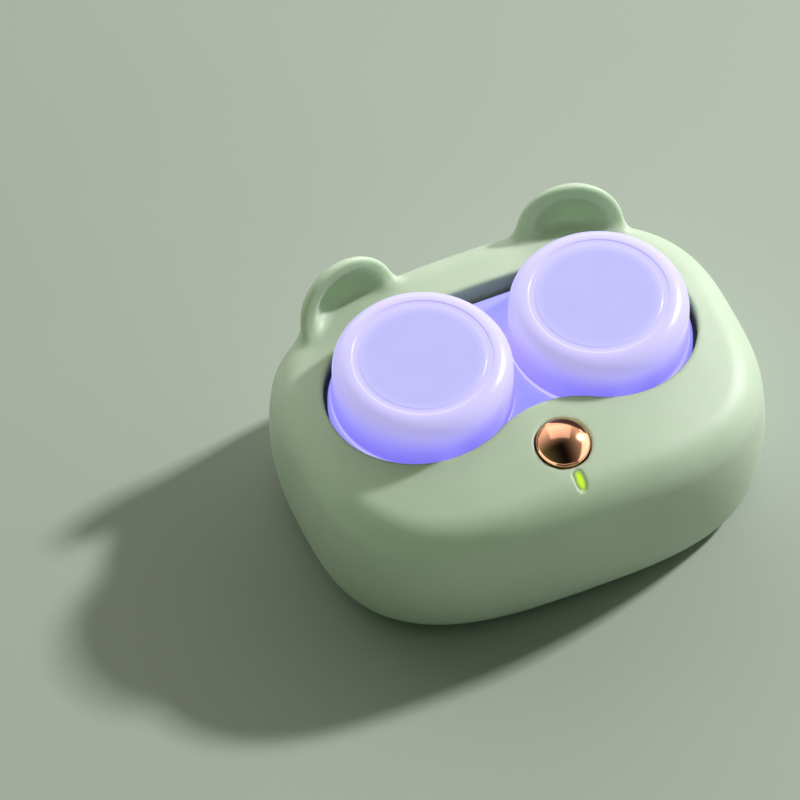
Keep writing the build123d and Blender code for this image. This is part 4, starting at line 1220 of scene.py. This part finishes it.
# %% [markdown]
# ## Sounders
# Under each well lies a thin steel plate with a piezo disc glued to it. The steel was turned on a lathe,
# so fine rings run round it. The disc is a fired ceramic, silvered by printing.

# %% Sounders
ring_radian = 0.6                        # mm; a whole ring is 2 pi times as wide, coarse enough to show
texture_radians = 20                     # Blender's wave texture runs through so many in a unit of scale


def turned_steel(name, side_x):
    """Steel faced on a lathe: fine rings round the axis, which stretch highlights into spokes."""
    finish, tree, shader, place = new_finish(name)
    shifted = add_node(tree, "ShaderNodeMapping", {"Location": (-side_x * MM, -cap_y * MM, 0)},
                       {"Vector": place})
    rings = add_node(tree, "ShaderNodeTexWave",
                     {"Scale": repeats(ring_radian) / texture_radians, "Distortion": 0.6, "Detail": 2.0},
                     {"Vector": shifted.outputs["Vector"]}, wave_type="RINGS", rings_direction="Z")
    rough = add_node(tree, "ShaderNodeMapRange", {"To Min": 0.22, "To Max": 0.36},
                     {"Value": rings.outputs["Fac"]})
    bump = add_node(tree, "ShaderNodeBump", {"Strength": 0.3, "Distance": 0.01 * MM},
                    {"Height": rings.outputs["Fac"]})
    tree.links.new(rough.outputs["Result"], shader.inputs["Roughness"])
    tree.links.new(bump.outputs["Normal"], shader.inputs["Normal"])
    tree.links.new(mottle(tree, place, 3, "#B8BABB", "#C6C8C9"), shader.inputs["Base Color"])
    set_shader(shader, Metallic=1.0)
    return finish


def silvered_ceramic():
    """Fired silver paint on ceramic: a pale matt metal with a faint yellow cast and small pits."""
    finish, tree, shader, place = new_finish("silvered_piezo_ceramic")
    tree.links.new(mottle(tree, place, 1.2, "#D3CDBF", "#DED9CC", 4), shader.inputs["Base Color"])
    grain(tree, shader, place, 0.2, 0.01, 0.6)
    set_shader(shader, Metallic=0.6, Roughness=0.5)
    return finish


for side, sign in (("left", -1), ("right", 1)):
    dress(turned_steel(f"turned_stainless_steel_{side}", sign * cap_x), f"{side}_vibration_plate")
dress(silvered_ceramic(), "left_piezo_disc", "right_piezo_disc")

# %% [markdown]
# ## Boards and what they carry
# A circuit board is glass cloth in resin under green solder resist. Copper tracks lie under the resist
# and lift it a little, so they show as slightly lighter lines. The joints of a brick pattern give lines
# like those: long runs with short links between them, all square to the board's edges.

# %% Boards
def solder_resist():
    """Green solder resist over copper tracks: glossy, with tracks as paler raised lines."""
    finish, tree, shader, place = new_finish("solder_resist_green")
    tracks = add_node(tree, "ShaderNodeTexBrick",
                      {"Scale": repeats(6.0), "Mortar Size": 0.035, "Color1": linear("#1B5735"),
                       "Color2": linear("#1F5E3A"), "Mortar": linear("#3B8457")},
                      {"Vector": place}, offset=0.35, squash=1.7)
    tree.links.new(tracks.outputs["Color"], shader.inputs["Base Color"])
    bump = add_node(tree, "ShaderNodeBump", {"Strength": 0.5, "Distance": 0.04 * MM},
                    {"Height": tracks.outputs["Fac"]})
    tree.links.new(bump.outputs["Normal"], shader.inputs["Normal"])
    set_shader(shader, Roughness=0.3, IOR=1.52)
    return finish


dress(solder_resist(), "main_board", "light_board", "switch_board")

# %% [markdown]
# The chip is a black block with tinned legs on four sides. Beside it stands the driver's coil: a ferrite
# drum with enamelled copper wire wound on it. In front is a row of small ceramic capacitors, each a tan
# block with tinned ends.

# %% Chip, coil and capacitors
def tinned():
    """Tinned copper: soft silvery metal with a slightly uneven, once-molten skin."""
    finish, tree, shader, place = new_finish("tinned_copper")
    tree.links.new(mottle(tree, place, 0.6, "#C9C9C6", "#D6D6D3"), shader.inputs["Base Color"])
    grain(tree, shader, place, 0.4, 0.02, 0.5)
    set_shader(shader, Metallic=1.0, Roughness=0.3)
    return finish


def enamelled_wire():
    """Enamelled copper wire: reddish copper under a thin glossy lacquer."""
    finish, tree, shader, place = new_finish("enamelled_copper_wire")
    tree.links.new(mottle(tree, place, 0.8, "#A8502A", "#B96238"), shader.inputs["Base Color"])
    set_shader(shader, Metallic=0.9, Roughness=0.25, Coat_Weight=0.6, Coat_Roughness=0.1)
    return finish


def fired_tan():
    """Fired capacitor ceramic: tan and matt, with fine dark specks."""
    finish, tree, shader, place = new_finish("fired_capacitor_ceramic")
    tree.links.new(mottle(tree, place, 0.35, "#9A7B54", "#AE8E65", 5), shader.inputs["Base Color"])
    set_shader(shader, Roughness=0.55, IOR=1.6)
    return finish


def sintered_ferrite():
    """Sintered ferrite: nearly black, matt, with a faint glitter of grains."""
    finish, tree, shader, place = new_finish("sintered_ferrite")
    tree.links.new(mottle(tree, place, 0.3, "#2A2A2B", "#3A3A3C", 6), shader.inputs["Base Color"])
    grain(tree, shader, place, 0.12, 0.01, 0.6)
    set_shader(shader, Roughness=0.6, IOR=1.6)
    return finish


tin = tinned()
chip_low, chip_high = node_box("control_chip")
chip_middle, chip_size = (chip_low + chip_high) / 2, chip_high - chip_low
leg_length, leg_width, leg_sheet = 0.35, 0.22, 0.2
leg_pitch, legs_on_side, leg_drop = 0.5, 8, 0.3
leg_size = 2 * leg_length - 0.02         # half of a leg lies inside the block
chip_stand = 0.1                         # air under the block
inner_size = chip_size - np.array((2 * leg_length, 2 * leg_length, chip_stand))
chip_form = block(chip_middle + np.array((0, 0, chip_stand / 2)), inner_size, 0.08)
chip_piece = new_piece("chip_block", *chip_form, "case", "chip",
                       moulded_black("moulded_epoxy_black", 0.8), smooth=False)
legs = []
for k in range(legs_on_side):
    shift = leg_pitch * (k - (legs_on_side - 1) / 2)
    for sign in (-1, 1):
        out = sign * (chip_size[0] / 2 - leg_length)
        beside, before = np.array((out, shift, -leg_drop)), np.array((shift, out, -leg_drop))
        legs.append(block(chip_middle + beside, (leg_size, leg_width, leg_sheet), 0.02))
        legs.append(block(chip_middle + before, (leg_width, leg_size, leg_sheet), 0.02))
new_piece("chip_legs", *joined(*legs), "case", "chip", tin, smooth=False)
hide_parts("control_chip")

coil_low, coil_high = node_box("driver_coil")
coil_x, coil_y = ((coil_low + coil_high) / 2)[:2]
coil_radius, coil_height = (coil_high[0] - coil_low[0]) / 2 - 0.01, coil_high[2] - coil_low[2]
flange, wound = 0.55, coil_radius - 0.5
core, drum_edge = wound - 0.4, 0.1
dimple_outer, dimple_inner, dimple_floor = 1.0, 0.8, coil_height - 0.25
drum = [(0, 0), (coil_radius, 0), (coil_radius, flange), (core, flange), (core, coil_height - flange),
        (coil_radius, coil_height - flange), (coil_radius, coil_height - drum_edge),
        (coil_radius - drum_edge, coil_height), (dimple_outer, coil_height),
        (dimple_inner, dimple_floor), (0, dimple_floor)]
coil_piece = new_piece("coil_drum", *lathe(drum, (coil_x, coil_y, coil_low[2]), 64), "case", "ferrite",
                       sintered_ferrite(), smooth=False)
wire_turns = 6
wire_radius = (coil_height - 2 * flange) / wire_turns / 2
winding_inside = wound - 0.5
winding = [(winding_inside, flange)]
for k in range(wire_turns):
    wire_rise = flange + wire_radius * (2 * k + 1)
    winding += bend((wound - wire_radius, wire_rise), (wire_radius, wire_radius), -80, 80, 6)
winding.append((winding_inside, coil_height - flange))
new_piece("coil_winding", *lathe(winding, (coil_x, coil_y, coil_low[2]), 64), "case", "ferrite",
          enamelled_wire())
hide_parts("driver_coil")

row_low, row_high = node_box("capacitors")
capacitor_count, capacitor_pitch, capacitor_width, end_length = 4, 3.4, 1.6, 0.5
row_middle, row_size = (row_low + row_high) / 2, row_high - row_low
end_proud, end_overlap = 0.03, 0.025     # the tinned ends stand out this far, and reach over the ceramic
body_size = (capacitor_width - 2 * end_proud, row_size[1] - 2 * end_length + 2 * end_overlap,
             row_size[2] - 2 * end_proud)
bodies, ends = [], []
for k in range(capacitor_count):
    centre = row_middle + np.array((capacitor_pitch * (k - (capacitor_count - 1) / 2), 0, 0))
    bodies.append(block(centre, body_size, 0.05))
    for sign in (-1, 1):
        end_centre = centre + np.array((0, sign * (row_size[1] - end_length) / 2, 0))
        ends.append(block(end_centre, (capacitor_width, end_length, row_size[2]), 0.1))
row_piece = new_piece("capacitor_blocks", *joined(*bodies), "case", "capacitor", fired_tan(), smooth=False)
new_piece("capacitor_ends", *joined(*ends), "case", "capacitor", tin, smooth=False)
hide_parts("capacitors")
print("chip legs:", len(legs), "turns of wire:", wire_turns, "capacitors:", capacitor_count)

# %% [markdown]
# ## Lights, switch, battery and leads
# The violet diodes are white blocks with a round window of clear resin, and glow when the machine runs.
# The switch is a black block with a steel frame round its plunger. The battery is a pouch of aluminium
# foil, slightly wrinkled. The leads are short stiff wires in coloured sleeves.

# %% Lights
def diode_resin(name, colour, strength):
    """Clear cast resin over a diode: glassy, and lit from inside."""
    finish, tree, shader, place = new_finish(name)
    tree.links.new(mottle(tree, place, 0.6, colour, "#F2F0FF"), shader.inputs["Base Color"])
    set_shader(shader, Roughness=0.15, IOR=1.53, Emission_Color=linear(colour), Emission_Strength=strength)
    return finish


def white_housing():
    """White moulded housing of a diode, chalky so that it throws the light forwards."""
    finish, tree, shader, place = new_finish("moulded_diode_housing_white")
    tree.links.new(mottle(tree, place, 0.5, "#E3E2DC", "#ECEBE6"), shader.inputs["Base Color"])
    set_shader(shader, Roughness=0.6, IOR=1.5)
    return finish


leds_low, leds_high = node_box("violet_leds")
led_count, led_pitch, led_size = 3, 4.4, np.array((3.5, 2.8, 1.0))
window_height, window_foot = 0.12, 0.38  # the window stands on the housing, above the diode's middle
window_section = [(0, 0), (1.15, 0), (1.15, 0.03), (0.9, 0.09), (0, window_height)]
led_middle = (leds_low + leds_high) / 2
housings, windows = [], []
for k in range(led_count):
    centre = led_middle + np.array((0, led_pitch * (k - 1), 0))
    housings.append(block(centre - np.array((0, 0, window_height / 2)),
                          led_size - np.array((0, 0, window_height)), 0.08))
    windows.append(lathe(window_section, centre + np.array((0, 0, window_foot)), 32))
white = white_housing()
led_piece = new_piece("led_housings", *joined(*housings), "case", "led", white, smooth=False)
new_piece("led_windows", *joined(*windows), "case", "led", diode_resin("violet_diode_resin", "#7C5CFF", 2.0))
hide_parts("violet_leds")
dress(diode_resin("green_diode_resin", "#BFF03A", 1.5), "indicator_led")

# %% Switch, battery and leads
def pouch_foil():
    """Pouch foil: embossed aluminium under a clear film, with soft wrinkles where it was folded."""
    finish, tree, shader, place = new_finish("embossed_pouch_foil")
    tree.links.new(mottle(tree, place, 4, "#B7BABD", "#C4C7CA"), shader.inputs["Base Color"])
    folds = add_node(tree, "ShaderNodeTexNoise", {"Scale": repeats(5.0), "Detail": 3.0, "Distortion": 0.8},
                     {"Vector": place})
    bump = add_node(tree, "ShaderNodeBump", {"Strength": 0.5, "Distance": 0.25 * MM},
                    {"Height": folds.outputs["Fac"]})
    tree.links.new(bump.outputs["Normal"], shader.inputs["Normal"])
    set_shader(shader, Metallic=1.0, Roughness=0.36)
    return finish


def sleeve(name, middle_x):
    """Silicone sleeves of a pair of leads: red to one side of a line, and black to the other."""
    finish, tree, shader, place = new_finish(name)
    across = add_node(tree, "ShaderNodeSeparateXYZ", links={"Vector": place}).outputs["X"]
    beyond = add_node(tree, "ShaderNodeMath", {1: middle_x * MM}, {0: across}, operation="GREATER_THAN")
    red, dark = mottle(tree, place, 1, "#9C2420", "#AB2F29"), mottle(tree, place, 1, "#1F1F20", "#2B2B2C")
    both = add_node(tree, "ShaderNodeMix", links={"Factor": beyond.outputs[0], 6: red, 7: dark},
                    data_type="RGBA")
    tree.links.new(both.outputs[2], shader.inputs["Base Color"])
    grain(tree, shader, place, 0.2, 0.004, 0.5)
    set_shader(shader, Roughness=0.5, IOR=1.42)
    return finish


dress(pouch_foil(), "battery")
dress(black, "tact_switch", "switch_plunger")
for name in ("left_sounder_leads", "right_sounder_leads", "light_leads", "battery_leads", "switch_leads"):
    low, high = node_box(name)
    dress(sleeve(f"silicone_sleeve_{name}", float(low[0] + high[0]) / 2), name)

frame_reach, frame_side, frame_top = 2.55, 5.8, -6.6
strip_width, strip_sheet = 0.6, 0.16
strip_out = frame_top - strip_sheet / 2
side_strip = (strip_width, frame_side, strip_sheet)
end_strip = (frame_side - 2 * strip_width, strip_width, strip_sheet)
switch_frame = [block(on_button(sign * frame_reach, 0, strip_out), side_strip, 0.04, tilt_turn)
                for sign in (-1, 1)]
switch_frame += [block(on_button(0, sign * frame_reach, strip_out), end_strip, 0.04, tilt_turn)
                 for sign in (-1, 1)]
new_piece("switch_frame", *joined(*switch_frame), "case", "switch", steel, smooth=False)

# %% [markdown]
# ## Where the glow falls
# The glow of the caps and the plate is painted into their emission, and shines only faintly beside the lamp.
# On the real machine their light goes up and hardly reaches the case. A shining piece can be given receivers
# as a lamp can, so these pieces get each other as receivers, and light nothing else.

# %% Receivers of the violet light
lit_by_wells = bpy.data.collections.new("lit_by_wells")
glowing = [bpy.data.objects["left_cap_moulding"], bpy.data.objects["right_cap_moulding"],
           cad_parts["lens_case"]]
for piece in glowing:
    lit_by_wells.objects.link(piece)
for piece in glowing:
    piece.light_linking.receiver_collection = lit_by_wells
